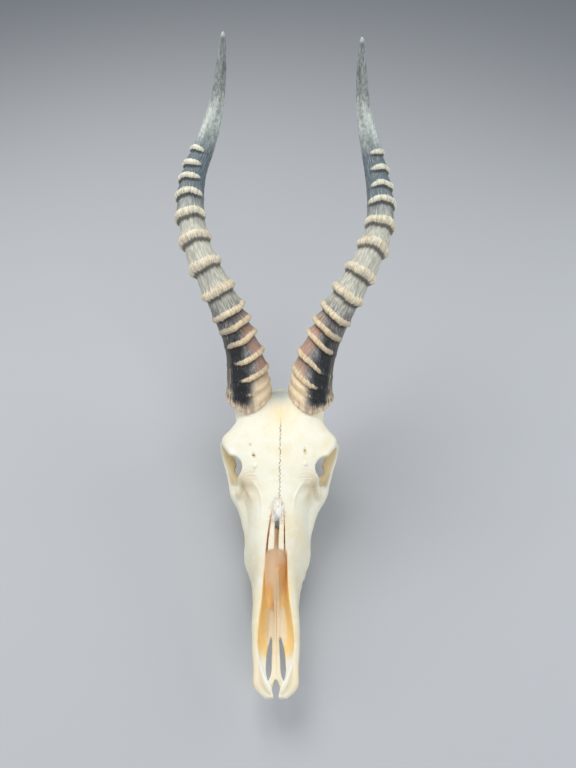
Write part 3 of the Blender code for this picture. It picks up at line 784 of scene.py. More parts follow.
class OrbitHollow(Orbit):
    """A round hollow that narrows inward: distance from the axis less the radius at that depth."""

    def at(self, x, u, w):
        outward, along, up = self.turned(x, u, w)
        radius = np.interp(outward, *ORBIT_TAPER)
        return np.maximum(np.hypot(along, up) - radius, ORBIT_TAPER[0][0] - outward)


print("the eye sockets are", 2 * ORBIT_RADIUS[0], "by", 2 * ORBIT_RADIUS[1], "mm across")

# %% [markdown]
# With two verbs the blocks become a skull: one joins a block of bone to the field, the other carves a hollow out
# of it. Each works only in the part of the grid round its block, which keeps the whole thing quick.

# %% Join and carve


def join(shape, width):
    """Add a block of bone to the field, with a fillet of that width."""
    cuts, x, u, w = window(*shape.box(width + 2))
    field[cuts] = smooth_min(field[cuts], shape.at(x, u, w), width)


def carve(shape, width):
    """Take a hollow out of the field, with a rounded edge of that width."""
    cuts, x, u, w = window(*shape.box(width + 2))
    field[cuts] = -smooth_min(-field[cuts], shape.at(x, u, w), width)


print("a fillet of 2 mm fills", -smooth_min(0.0, 0.0, 2.0), "mm where two surfaces cross")

# %% [markdown]
# The bones come first. The large ones are stations: the face, the forehead, the brain case and its base.

# %% Stations of the skull
FACE = (
    (7.9, 8.8, 0.0, 5.0, 2.2, 0.0), (9.4, 11.4, -0.2, 6.0, 2.3, 0.0), (11, 13.6, -0.5, 7.0, 2.4, 0.0),
    (14, 16.7, -0.8, 9.0, 2.6, 0.0), (18, 18.6, -1.0, 11.0, 2.8, 0.0), (30, 18.7, -1.0, 15.0, 3.0, 0.0),
    (44, 20.3, -1.0, 20.0, 3.0, 0.03), (60, 21.2, -1.0, 28.0, 3.2, 0.05), (76, 21.8, -1.0, 36.0, 3.2, 0.15),
    (90, 22.4, -1.5, 44.0, 3.2, 0.24), (99, 23.8, -2.0, 50.0, 3.2, 0.32),
    (110, 30.2, -2.0, 58.0, 3.0, 0.44), (120, 35.6, -2.0, 64.0, 2.9, 0.47), (128, 37.2, -2.0, 68.5, 2.8, 0.44),
    (143, 35.0, -2.0, 76.0, 2.7, 0.34), (154, 35.0, -1.0, 81.5, 2.7, 0.20), (162, 36.5, 2.0, 83.5, 2.6, 0.10),
    (170, 35.5, 12.0, 82.0, 2.5, 0.08),
)
FOREHEAD = (
    (140, 12.0, 50.0, 62.0, 2.2, 0.0), (150, 20.0, 56.0, 74.5, 2.2, 0.0), (158, 28.0, 62.0, 82.6, 2.3, 0.0),
    (166, 33.0, 66.0, 88.2, 2.4, 0.0), (174, 35.5, 70.0, 93.5, 2.4, 0.0), (184, 42.5, 78.0, 98.5, 2.5, 0.0),
    (194, 50.0, 79.0, 103.5, 2.4, 0.0), (204, 55.0, 77.0, 108.0, 2.2, 0.0), (211, 49.0, 74.0, 111.0, 2.3, 0.0),
    (219, 42.6, 74.0, 114.0, 2.7, 0.0), (226, 42.4, 72.0, 116.0, 2.7, 0.0), (236, 42.0, 70.0, 117.5, 2.4, 0.0),
    (246, 38.0, 66.0, 115.5, 2.2, 0.0), (258, 33.5, 60.0, 106.0, 2.2, 0.0), (268, 26.0, 56.0, 94.0, 2.0, 0.0),
)
BRAINCASE = (
    (165, 15.0, 30.0, 84.0, 2.2, 0.0), (185, 19.0, 28.0, 94.0, 2.1, 0.0), (205, 25.0, 30.0, 102.0, 2.0, 0.0),
    (225, 31.5, 32.0, 108.0, 2.0, 0.0), (245, 34.0, 32.0, 108.0, 2.0, 0.0), (258, 34.0, 30.0, 103.0, 2.1, 0.1),
    (266, 31.5, 28.5, 96.0, 2.1, 0.15), (271, 27.5, 29.0, 89.0, 2.1, 0.2), (274.5, 21.0, 31.0, 81.0, 2.1, 0.2),
    (277, 11.0, 38.0, 70.0, 2.0, 0.2), (278, 3.0, 46.0, 58.0, 2.0, 0.2),
)
SKULL_BASE = (
    (168, 6.0, 30.0, 40.0, 2.0, 0.0), (200, 9.0, 24.0, 42.0, 2.2, 0.0), (230, 12.0, 20.0, 42.0, 2.4, 0.0),
    (258, 15.0, 18.0, 44.0, 2.6, 0.0), (276, 13.0, 20.0, 42.0, 2.4, 0.0),
)
STATIONS = ((FACE, 2), (FOREHEAD, 4.5), (BRAINCASE, 6), (SKULL_BASE, 3))    # and their fillets
print("stations:", [len(stations) for stations, _ in STATIONS])

# %% [markdown]
# Rods make the rest on each side: the cheek arch, the wing bone behind the palate, the heel bone that the skull
# rests on, the ear, the ridge that holds the teeth, and the fine ridges of the nape, the palate and the brow.

# %% Arches and ridges
CHEEK_ARCH = (
    ((136, 25.0, 30.0), (4.0, 5.0)), ((147, 27.5, 35.0), (6.0, 9.0)), ((158, 31.0, 42.0), (6.0, 12.0)),
    ((167, 36.0, 44.0), (5.2, 11.0)), ((176, 43.0, 45.0), (3.8, 8.0)), ((190, 46.5, 45.0), (3.3, 6.0)),
    ((206, 50.0, 46.0), (3.0, 5.5)), ((222, 50.5, 45.5), (3.0, 5.0)), ((238, 45.0, 45.0), (3.2, 5.0)),
    ((252, 33.0, 46.0), (5.0, 6.0)),
)
WING_BONE = (((166, 14.0, 8.0), (2.4, 8.0)), ((182, 12.5, 14.0), (2.2, 9.0)), ((202, 11.0, 24.0), (3.0, 7.0)))
HEEL_BONE = (
    ((256, 27.0, 44.0), (6.5, 9.0)), ((260, 28.0, 26.0), (4.5, 6.5)), ((264, 27.5, 10.0), (3.2, 4.6)),
    ((265.3, 27.0, 3.0), (2.6, 3.4)),
)
EAR_TUBE = (((244, 26.0, 40.0), (7.0, 7.0)), ((242, 32.0, 41.0), (5.5, 5.5)), ((241, 36.5, 42.0), (4.5, 4.5)))
TOOTH_RIDGE = (
    ((84, 16.0, 4.0), (4.5, 6.0)), ((104, 17.8, 4.0), (5.0, 6.5)), ((126, 22.3, 4.0), (7.0, 6.5)),
    ((148, 24.3, 4.0), (7.5, 6.5)), ((160, 24.6, 4.6), (7.0, 6.5)), ((168, 24.8, 7.0), (5.0, 5.5)),
)
NAPE_CREST = (
    ((262, 0.0, 100.0), (3.0, 3.0)), ((268, 12.0, 93.0), (2.4, 3.0)), ((269, 24.0, 80.0), (2.2, 3.2)),
    ((266, 31.0, 64.0), (2.6, 3.6)),
)
BACK_KEEL = (((268, 0.0, 93.0), (2.2, 2.6)), ((275, 0.0, 78.0), (1.5, 2.2)), ((278, 0.0, 64.0), (1.0, 1.6)))
PALATE_EDGE = (
    ((150, 15.5, -1.4), (1.1, 1.2)), ((120, 12.5, -1.6), (1.1, 1.2)), ((92, 10.5, -1.4), (0.9, 1.0)),
    ((66, 12.5, -0.9), (0.8, 0.8)),
)
BROW_RIDGE = (                  # a fine ridge from under the brow down the side of the snout
    ((164, 24.0, 83.8), (0.5, 0.5)), ((160, 20.8, 81.6), (0.6, 0.7)), ((154, 17.0, 78.5), (0.7, 0.8)),
    ((147.5, 14.6, 74.4), (0.6, 0.7)), ((138.5, 13.6, 68.6), (0.5, 0.5)), ((130, 14.2, 62.5), (0.4, 0.4)),
)
RODS = (                        # with their fillets
    (CHEEK_ARCH, 4), (WING_BONE, 2.5), (HEEL_BONE, 3), (EAR_TUBE, 2.5), (TOOTH_RIDGE, 2.5), (NAPE_CREST, 4),
    (BACK_KEEL, 3), (PALATE_EDGE, 2), (BROW_RIDGE, 2),
)
print(len(RODS), "rods on each side")

# %% [markdown]
# A few knobs are lumps: the swelling below each ear, the two knuckles at the neck, the thick corner behind each
# ear, and the block of bone under the nasals. Under each horn stands a bony core that fills the open base of the
# sheath. It follows the horn's own direction there.

# %% Knobs and cores
LUMPS = (                       # centre (u, x, w), half sizes (along u, x, w), fillet
    ((246, 20, 20), (11, 7.5, 13), 2.5),
    ((277, 11.5, 31), (11, 9, 13), 2.5),
    ((258, 22, 52), (15, 17, 17), 5.0),
    ((141, 0, 69.4), (10.0, 6.0, 6.6), 2.0),
)
TEAR_KNOB = ((168.2, 36.8, 58.0), (4.6, 3.8, 7.6))     # joined after the pits, with a fillet of its own
TEAR_FILLET = 4.0
WHITE_BUMPS = (                 # one on each side, not in the same place
    ((173.8, -21.4, 90.2), (2.8, 2.1, 2.8), 1.2),
    ((176.5, 24.6, 91.5), (2.6, 1.9, 2.6), 1.2),
)
CORE_START = 5.0                # the place on the horn whose direction a core follows
CORE_INWARD = 1.8               # how far it stands nearer to the middle of the head than the horn
CORE = (                        # (distance from the base of the horn, half sizes)
    (-12, (14.5, 19.0)), (-4, (15.6, 20.8)), (4, (15.4, 18.6)), (13, (13.5, 15.5)),
)


def horn_core(name):
    """A bony core as a rod from under the base of the horn, a little inward, which tapers inside the sheath."""
    middle, along, outward, _ = (axis[0] for axis in horn_axes(name, np.array((CORE_START,))))
    line = [middle + along * (distance - CORE_START) - outward * CORE_INWARD for distance, _ in CORE]
    return Rod([((u, x, w), half) for (x, u, w), (_, half) in zip(line, CORE)], parts=2)


print("the left core starts at", horn_core("left").path[0].round(1))

# %% [markdown]
# Now the blocks are joined, the large ones first. How wide the fillet is at each join is given with its block.

# %% Join the bones
RIM_FILLET = 3.5
CORE_FILLET = 5

for stations, width in STATIONS:
    join(Stations(stations), width)
for side in SIDES.values():
    join(OrbitRim(side), RIM_FILLET)
    for rows, width in RODS:
        join(Rod(rows, side), width)
    for centre, halves, width in LUMPS:
        join(Lump(centre, halves, side), width)
for bump, halves, width in WHITE_BUMPS:
    join(Lump(bump, halves), width)
for side_name in SIDES:
    join(horn_core(side_name), CORE_FILLET)
print("bone points:", int((field < 0).sum()))

# %% [markdown]
# The hollows follow, and the widest are stations again: the trough of the nose with its passage to the throat,
# the notch at the tip, the slot where the nasal bones are broken, and the hole for the spinal cord.

# %% Troughs and passages
NOSE_HOLLOW = (
    (13.5, 3.2, 6.0, 20.0, 2.4, 0.0), (19, 7.6, 5.2, 20.0, 2.4, 0.0), (26, 10.6, 4.2, 24.0, 2.4, 0.0),
    (32, 12.6, 3.6, 28.0, 2.4, 0.0), (40, 14.2, 3.6, 34.0, 2.7, 0.0), (51, 15.0, 3.6, 42.0, 3.2, 0.0),
    (61, 13.8, 3.6, 52.0, 3.8, 0.0), (75, 11.6, 3.8, 66.0, 4.2, 0.0), (89, 10.4, 4.0, 82.0, 3.6, 0.0),
    (109, 9.0, 4.5, 103.0, 3.0, 0.0),
)
NOSE_PASSAGE = (
    (98, 9.6, 4.5, 54.0, 2.8, 0.0), (112, 14.0, 5.0, 56.5, 2.6, 0.3), (126, 17.0, 6.0, 64.5, 2.6, 0.35),
    (142, 15.0, 8.0, 66.0, 2.6, 0.2), (160, 9.5, 4.0, 34.0, 2.6, 0.0), (178, 8.0, -2.0, 27.0, 2.6, 0.0),
    (190, 7.0, -4.0, 20.0, 2.6, 0.0),
)
NOSE_NOTCH = (
    (0, 1.2, -9.0, 14.0, 4.0, 0.0), (9, 1.7, -9.0, 14.0, 4.0, 0.0), (14.5, 3.8, -9.0, 14.0, 4.0, 0.0),
    (22, 0.8, -9.0, 14.0, 4.0, 0.0),
)
NASAL_SLOT = (
    (104, 2.0, 40.0, 76.0, 4.0, 0.0), (118, 1.7, 44.0, 80.0, 4.0, 0.0), (124, 2.0, 47.0, 84.0, 4.0, 0.0),
    (132, 1.8, 51.0, 89.0, 4.0, 0.0),
)
NAPE_HOLE = (
    (238, 5.0, 38.0, 50.0, 2.0, 0.0), (262, 7.0, 36.5, 51.5, 2.0, 0.0), (275, 9.0, 34.0, 55.0, 2.0, 0.0),
    (296, 11.0, 32.0, 58.0, 2.0, 0.0),
)
TROUGHS = (NOSE_HOLLOW, NOSE_PASSAGE, NOSE_NOTCH, NASAL_SLOT, NAPE_HOLE)
print("troughs:", [len(rows) for rows in TROUGHS])

# %% [markdown]
# Rods cut what is long and narrow: the two slits of the palate, the windows behind the eye sockets, a groove on
# each side of the tip, and the slits that free the broken nasal bones from the bones of the cheeks.

# %% Slits, windows and grooves
PALATE_SLIT = (
    ((21.0, 6.4, 2.0), (0.5, 9.0)), ((25, 6.3, 2.0), (1.5, 9.0)), ((31, 6.1, 2.0), (2.2, 9.0)),
    ((44, 5.5, 2.0), (1.9, 9.0)), ((55.5, 3.9, 2.0), (0.7, 9.0)),
)
CHEEK_WINDOW = (
    ((198, 33.0, 70.0), (9.0, 8.0)), ((202, 34.0, 48.0), (10.5, 8.0)), ((206, 36.0, 24.0), (14.0, 9.0)),
    ((208, 38.0, 0.0), (18.0, 12.0)),
)
TIP_GROOVE = (
    ((46, 14.2, 18.0), (0.5, 0.6)), ((31.5, 12.6, 14.0), (1.0, 1.2)), ((20, 12.4, 11.6), (1.2, 1.4)),
    ((13.5, 9.6, 8.4), (1.0, 1.2)), ((9.5, 5.0, 6.6), (0.5, 0.6)),
)
NASAL_SLITS = (                 # animal's left, then right: rods that cut the nasals free of the cheek bones
    (((104, 7.5, 56.0), (0.6, 8.0)), ((120, 6.8, 65.0), (0.42, 7.0)), ((131, 6.2, 71.0), (0.34, 3.0)),
     ((140, 5.5, 76.0), (0.3, 1.2))),
    (((104, -8.6, 54.0), (0.7, 8.0)), ((116, -7.8, 61.0), (0.45, 6.0)), ((122, -7.2, 65.0), (0.6, 3.5)),
     ((130, -6.2, 69.5), (0.38, 2.4)), ((139, -4.8, 76.0), (0.3, 1.2))),
)
print("slits beside the nasals:", [len(rows) for rows in NASAL_SLITS], "points")

# %% [markdown]
# The pits in front of the eyes and the notch of the brow are lumps, and the small holes for nerves are drilled
# with short rods. On the forehead those of the two sides don't match, so each is written down.

# %% Pits and small holes
PITS = (                        # centre (u, x, w), half sizes (along u, x, w), edge width
    ((150, 39, 62), (19, 7, 13), 3.0),
    ((177.6, 45.5, 84.5), (9.6, 12.6, 13.0), 2.2),
    ((150.3, 29.8, 81.8), (12.4, 12.0, 12.0), 1.6),
    ((157.6, 36.3, 78.0), (8.4, 8.4, 9.2), 1.8),
)
DRILLS = (                      # rows of a rod, edge width
    ((((88, 26.0, 22.0), (2.6, 2.6)), ((100, 15.0, 24.0), (2.6, 2.6))), 1.0),
    ((((138, 11.5, -6.0), (1.1, 1.1)), ((142, 11.0, 2.0), (1.0, 1.0))), 0.8),
    ((((250, 15.0, 12.0), (1.8, 1.8)), ((262, 13.0, 26.0), (1.6, 1.6))), 1.0),
)
NERVE_HOLES = (                 # rows of a rod, edge width: a funnel with a hole on each side, and one hole more
    ((((182.5, -24.2, 98.4), (2.0, 1.2)), ((180.8, -22.2, 96.2), (1.2, 1.0))), 1.8),
    ((((181.8, -23.4, 97.0), (1.2, 0.9)), ((183.2, -23.0, 94.2), (0.9, 0.9))), 1.0),
    ((((188.0, 23.6, 101.2), (1.1, 1.1)), ((184.0, 24.4, 98.2), (1.3, 1.0))), 1.4),
    ((((186.0, 24.0, 99.2), (1.1, 0.9)), ((187.5, 23.7, 96.2), (0.9, 0.9))), 1.0),
    ((((190.5, -26.8, 102.6), (0.8, 0.8)), ((191.0, -26.6, 100.8), (0.8, 0.8))), 1.2),
)
print(len(PITS), "pits and", len(DRILLS), "holes on each side,", len(NERVE_HOLES), "drillings in the forehead")

# %% [markdown]
# The order of the cuts counts. A small knob of the tear bone stands where a pit ends at the rim of the eye
# socket, so it is joined after the pits, and the fine slits come last.

# %% Carve the hollows
HOLLOW_EDGE = 1.2               # how round the edges of the large hollows are
SOCKET_EDGE = 1.5
GROOVE_EDGE = 2.2
SLIT_EDGE = 0.5

for rows in TROUGHS:
    carve(Stations(rows), HOLLOW_EDGE)
for side in SIDES.values():
    for rows in (PALATE_SLIT, CHEEK_WINDOW):
        carve(Rod(rows, side), HOLLOW_EDGE)
    carve(OrbitHollow(side), SOCKET_EDGE)
    for rows, width in DRILLS:
        carve(Rod(rows, side), width)
    for centre, halves, width in PITS:
        carve(Lump(centre, halves, side), width)
for rows, width in NERVE_HOLES:
    carve(Rod(rows), width)
for side in SIDES.values():
    carve(Rod(TIP_GROOVE, side), GROOVE_EDGE)
    join(Lump(*TEAR_KNOB, side), TEAR_FILLET)
for rows in NASAL_SLITS:
    carve(Rod(rows), SLIT_EDGE)
print("bone points left:", int((field < 0).sum()))

# %% [markdown]
# Inside the open nose lie thinner bones: two sloping scrolls that fill it towards the back, the plowshare bone
# as a double ridge along the middle, and two flat tongues beside it. They are joined after the hollows, so that
# the hollows don't cut them. The slits of the palate are carved once more, because these bones reach into them.

# %% Bones inside the nose
SCROLLS = (                     # animal's right, then left
    (((90, -5.6, 4.5), (6.2, 4.0)), ((98, -5.6, 17.0), (7.2, 5.0)), ((108, -5.4, 33.0), (7.6, 6.0)),
     ((118, -5.2, 45.5), (7.6, 6.0)), ((128, -5.0, 55.5), (7.0, 6.0))),
    (((86, 5.6, 2.5), (6.2, 3.0)), ((98, 5.8, 11.0), (7.4, 5.4)), ((108, 5.8, 27.0), (7.8, 6.4)),
     ((118, 5.6, 41.0), (7.8, 6.2)), ((128, 5.2, 52.5), (7.0, 6.0))),
)
PLOWSHARE = (                   # the ridge on the animal's right, the broader one on its left, the bone between
    (((106, -0.8, 33.0), (1.2, 3.4)), ((95, -1.0, 13.0), (1.4, 4.0)), ((85, -1.0, 5.6), (1.5, 2.4)),
     ((74, -0.6, 4.8), (1.1, 1.7)), ((54, -0.5, 3.4), (0.9, 1.0))),
    (((106, 2.2, 32.0), (1.7, 3.4)), ((95, 2.4, 12.4), (1.8, 4.0)), ((85, 2.4, 5.2), (1.8, 2.2)),
     ((74, 2.0, 4.6), (1.5, 1.6)), ((54, 1.6, 3.3), (1.1, 1.0))),
    (((106, 0.6, 32.0), (1.4, 3.2)), ((95, 0.7, 12.7), (1.4, 3.7)), ((85, 0.7, 5.3), (1.4, 2.1)),
     ((74, 0.7, 4.6), (1.2, 1.5)), ((54, 0.5, 3.3), (0.9, 0.9))),
)
TONGUES = (                     # animal's right, then left
    (((50, -4.9, 2.6), (2.2, 1.6)), ((58, -4.7, 3.8), (3.1, 1.9)), ((76, -4.6, 4.2), (3.0, 1.9)),
     ((79, -4.5, 4.2), (2.4, 1.8)), ((80.5, -4.4, 4.2), (1.4, 1.5))),
    (((50, 5.4, 2.6), (2.6, 1.6)), ((58, 6.2, 3.8), (3.5, 1.9)), ((77, 6.6, 4.2), (3.4, 1.9)),
     ((80.5, 6.3, 4.2), (2.7, 1.8)), ((82, 6.0, 4.2), (1.5, 1.5))),
)

for rods, width in ((SCROLLS, 1.5), (PLOWSHARE, 0.7), (TONGUES, 0.5)):
    for rows in rods:
        join(Rod(rows), width)
for side in SIDES.values():
    carve(Rod(PALATE_SLIT, side), 0.8)
print("bone points with the bones of the nose:", int((field < 0).sum()))

# %% [markdown]
# No bone is quite even. Three slow waves across the whole grid move its surface by up to a third of a millimetre.

# %% Unevenness
WAVE_HEIGHT = 0.11
waves = np.sin(X_AXIS / 5.3 + 0.7)[:, None, None] * np.sin(U_AXIS / 7.1)[None, :, None]
waves = waves + np.sin(U_AXIS / 4.3 + 1.9)[None, :, None] * np.sin(W_AXIS / 6.7)[None, None, :]
waves = waves + np.sin(X_AXIS / 8.9 + 2.1)[:, None, None] * np.sin(W_AXIS / 4.9 + 0.4)[None, None, :]
field += (WAVE_HEIGHT * waves).astype(np.float32)
print("largest wave:", round(float(np.abs(WAVE_HEIGHT * waves).max()), 2), "mm")

# %% [markdown]
# ## From the field to a mesh
# In a surface net, every grid cell that the surface crosses gets one point: the mean of the places where its
# twelve edges cross zero. Every grid edge that crosses zero gets one quad, between the four cells round it.

# %% Net the surface
EDGE_CORNERS = ((0, 1), (2, 3), (4, 5), (6, 7), (0, 2), (1, 3), (4, 6), (5, 7), (0, 4), (1, 5), (2, 6), (3, 7))
CORNER_STEPS = np.array([(k >> 2 & 1, k >> 1 & 1, k & 1) for k in range(8)])


def net_points(values, axes):
    """One point per crossed cell, at the mean of its edges' zero crossings, and the cells' numbers."""
    inside = values < 0
    shape = tuple(n - 1 for n in values.shape)
    count = np.zeros(shape, np.int8)
    for i, j, k in CORNER_STEPS:
        count += inside[i:i + shape[0], j:j + shape[1], k:k + shape[2]]
    cells = np.stack(np.nonzero((count > 0) & (count < 8)), axis=-1)
    at_corners = np.stack([values[tuple((cells + step).T)] for step in CORNER_STEPS], axis=-1)
    total = np.zeros((len(cells), 3))
    crossings = np.zeros((len(cells), 1))
    for first, second in EDGE_CORNERS:
        a, b = at_corners[:, first], at_corners[:, second]
        crosses = ((a < 0) != (b < 0))[:, None]
        t = np.where(crosses[:, 0], a / np.where(a == b, 1, a - b), 0)[:, None]
        spot = CORNER_STEPS[first] + (CORNER_STEPS[second] - CORNER_STEPS[first]) * t
        total += np.where(crosses, spot, 0)
        crossings += crosses
    share = total / crossings
    points = np.empty((len(cells), 3))
    for axis, line in enumerate(axes):
        start = line[cells[:, axis]]
        points[:, axis] = start + (line[cells[:, axis] + 1] - start) * share[:, axis]
    numbers = np.full(shape, -1, np.int32)
    numbers[tuple(cells.T)] = np.arange(len(cells))
    return points, numbers


def net_quads(values, numbers):
    """One quad per crossed grid edge, turned so that it faces away from the bone."""
    inside = values < 0
    quads = []
    for axis in range(3):
        b, c = (axis + 1) % 3, (axis + 2) % 3
        here = np.moveaxis(inside, (axis, b, c), (0, 1, 2))
        cell = np.moveaxis(numbers, (axis, b, c), (0, 1, 2))
        crosses = here[:-1, 1:-1, 1:-1] != here[1:, 1:-1, 1:-1]
        i, j, k = np.nonzero(crosses)
        around = [cell[i, j, k], cell[i, j + 1, k], cell[i, j + 1, k + 1], cell[i, j, k + 1]]
        quad = np.stack(around, axis=-1)
        outward = here[:-1, 1:-1, 1:-1][i, j, k]
        quads.append(np.where(outward[:, None], quad, quad[:, ::-1]))
    return np.concatenate(quads)


skull_points, cell_numbers = net_points(field, (X_AXIS, U_AXIS, W_AXIS))
skull_quads = net_quads(field, cell_numbers)
print("net of", len(skull_points), "points and", len(skull_quads), "quads")

# %% [markdown]
# The net has points everywhere, also where the bone is nearly flat. A Decimate modifier merges those first and
# keeps the points where the surface turns, so the edges of the small hollows stay sharp.

# %% Thin the net
SKULL_TRIANGLES = 192000


def thinned(points, quads, target):
    """Points and triangles of the same surface with at most that many triangles."""
    mesh = bpy.data.meshes.new("net")
    mesh.from_pydata(points.tolist(), [], quads.tolist())
    holder = bpy.data.objects.new("net", mesh)
    bpy.context.scene.collection.objects.link(holder)
    modifier = holder.modifiers.new("thin", "DECIMATE")
    modifier.ratio = min(1.0, target / (2 * len(quads)))
    evaluated = holder.evaluated_get(bpy.context.evaluated_depsgraph_get())
    thin = evaluated.to_mesh()
    thin.calc_loop_triangles()
    kept = np.empty(len(thin.vertices) * 3, np.float32)
    thin.vertices.foreach_get("co", kept)
    corners = np.empty(len(thin.loop_triangles) * 3, np.int32)
    thin.loop_triangles.foreach_get("vertices", corners)
    evaluated.to_mesh_clear()
    bpy.data.objects.remove(holder)
    bpy.data.meshes.remove(mesh)
    return kept.reshape(-1, 3).astype(float), corners.reshape(-1, 3)


skull_points, skull_triangles = thinned(skull_points, skull_quads, SKULL_TRIANGLES)
print("thinned to", len(skull_points), "points and", len(skull_triangles), "triangles")

# %% [markdown]
# The same blocks that shaped the bone also tell where a point of the mesh lies: inside the nose, inside an eye
# socket, in a pit. These shares become attributes, and the finish turns them into stains and painted shade.

# %% Zones of the nose
x, u, w = skull_points.T
middle = np.abs(x)


def within(shapes, depth=1.5):
    """1 for points that lie inside one of the hollows or on its wall, 0 further out than the depth."""
    return np.maximum.reduce([smooth_step(-shape.at(x, u, w), -depth, -0.3) for shape in shapes])


def spot(value, centre, half, power=2):
    """A bell: exp(-|(value - centre) / half|^power)."""
    return np.exp(-np.abs((value - centre) / half) ** power)


def fading(value, low, high):
    """1 below low and 0 above high."""
    return 1 - smooth_step(value, low, high)


nasal = within([Stations(NOSE_HOLLOW), Stations(NOSE_PASSAGE)])
nasal = np.maximum(nasal, within([Rod(rows) for rows in SCROLLS], 2.0) * (w > 8))
nasal *= smooth_step(u, 34, 46) * fading(u, 165, 185)
slits = [within([Rod(rows)], depth) for rows, depth in zip(NASAL_SLITS, (0.7, 0.8))]
tongue = within([Rod(rows) for rows in TONGUES], 1.0)
strip = spot(x, 0, 4.0, 4) * (w < 9) * fading(u, 60, 76)
ridge_half = np.interp(u, (60, 75, 86), (2.6, 2.7, 3.5))
ridge = spot(x, 0.9, ridge_half, 6) * (w < 34) * fading(u, 92, 108)
left_half = smooth_step(x, 1.0, 3.0)
rosy = smooth_step(u, 92, 98) * (1 - left_half) + smooth_step(u, 106, 109) * left_half
nasals_half = np.interp(u, (130, 141, 150), (7.0, 6.2, 2.6))
skull_values = {
    "across": x,
    "nasal": nasal,
    "amber": fading(u, 84, 100) * smooth_step(middle, 3.0, 6.0),
    "rosy": rosy * (w > 8),
    "pale": np.clip(tongue + strip + ridge, 0, 1),
    "chalk": within([Stations(NOSE_HOLLOW)], 3.0) * fading(u, 32, 46) * smooth_step(middle, 3, 6),
    "slit": np.maximum(*slits) * (u > 100),
    "white": spot(u, 138.5, 9.5, 6) * spot(x, 0.2, nasals_half, 4) * (w > 62),
}
print("stained by the nose:", round(float((nasal > 0.5).mean()) * 100), "percent of the points")

# %% [markdown]
# Outside the nose the bone is stained tan in its deep places: in the eye sockets and the nerve holes, in the
# grooves at the tip and in the hole of the nape. The pits in front of the eyes are tinted tan as painted shade.
# The broad strap behind each eye and the edges of the tip are worn to a golden tone. Between the horns a bluish
# grey is painted as shade and reflection, and beside each pit lies a small wrinkled patch.

# %% Zones outside the nose
socket = within([OrbitHollow(side) for side in SIDES.values()]) * (0.75 + 0.25 * smooth_step(middle, 20, 34))
socket = np.maximum(socket, within([Stations(NAPE_HOLE)]) * fading(u, 262, 274))
edge = (w < 20) * fading(u, 14, 44) * smooth_step(middle, 11, 17)
groove = within([Rod(TIP_GROOVE, side) for side in SIDES.values()], 1.2)
holes = within([Rod(rows) for rows, _ in NERVE_HOLES], 0.9)
# painted shade: a tan tint that darkens the pits in front of the eyes
pits = spot(u, 157, 12) * spot(middle, 33, 8) * spot(w, 73, 12)
patch = spot(u, 167, 5.5, 4) * spot(middle, 27.5, 8.0, 4) * (w > 74)
straps = [within([OrbitRim(side)]) * fading(Orbit(side).turned(x, u, w)[0], 0.5, 2.5) for side in SIDES.values()]
strap = np.maximum(*straps) * fading(w, 76, 87) * smooth_step(middle, 32, 36)
strap = np.maximum(strap, 0.7 * spot(u, 169, 5) * spot(middle, 39, 5) * spot(w, 60, 6))
tan_stain_and_pit_shade = socket * (0.85 - 0.85 * strap) + 0.2 * edge + 0.8 * groove + 0.8 * holes + pits + 0.2 * patch
skull_values |= {
    "tan": np.clip(tan_stain_and_pit_shade, 0, 1),
    "warm": 0.8 * spot(u, 219, 13) * spot(x, 1, 11) * (w > 90) + 0.9 * strap + 0.85 * edge,
    # painted shade and bluish reflection on the bone between the horns
    "cool": spot(u, 243, 12) * spot(x, 0, 12) * (w > 98),
    "patch": patch,
}
print("tan:", round(float((tan_stain_and_pit_shade > 0.5).mean()) * 100), "percent of the points")

# %% [markdown]
# The points are bent with the snout and become the skull's piece, with all these values on it.

# %% Dress the skull
skull_mesh = fill_mesh("skull bone", bent(skull_points), np.empty((0, 4), int), skull_triangles)
skull = add_piece("skull_bone", skull_mesh, "skull", skull_values)

# %% [markdown]
# ## Finishes from nodes
# A finish is easiest to read as arithmetic. One small class wraps a socket, so that an expression on it adds the
# Math nodes that it needs.

# %% Arithmetic on sockets


class Socket:
    """A value on its way through a material. Arithmetic on it adds Math nodes."""

    def __init__(self, finish, link):
        self.finish = finish
        self.link = link

    def math(self, operation, first, second):
        return self.finish.node("ShaderNodeMath", {"operation": operation}, {0: first, 1: second})

    def __add__(self, other):
        return self.math("ADD", self, other)

    def __sub__(self, other):
        return self.math("SUBTRACT", self, other)

    def __rsub__(self, other):
        return self.math("SUBTRACT", other, self)

    def __mul__(self, other):
        return self.math("MULTIPLY", self, other)

    def __abs__(self):
        return self.math("ABSOLUTE", self, 0.0)

    def sine(self):
        return self.math("SINE", self, 0.0)

    def zigzag(self):
        """0 at whole numbers, 1 halfway between them."""
        return self.math("PINGPONG", self, 0.5) * 2.0

    __radd__ = __add__
    __rmul__ = __mul__


print("sockets can be added, subtracted and multiplied, with numbers or with each other")

# %% [markdown]
# A second class holds a material while it is made. Each of its methods adds one node, or the few that belong
# together, and hands back the socket of the result. Numbers that are the same all over a piece are set straight
# on the shader.

# %% A material and its nodes


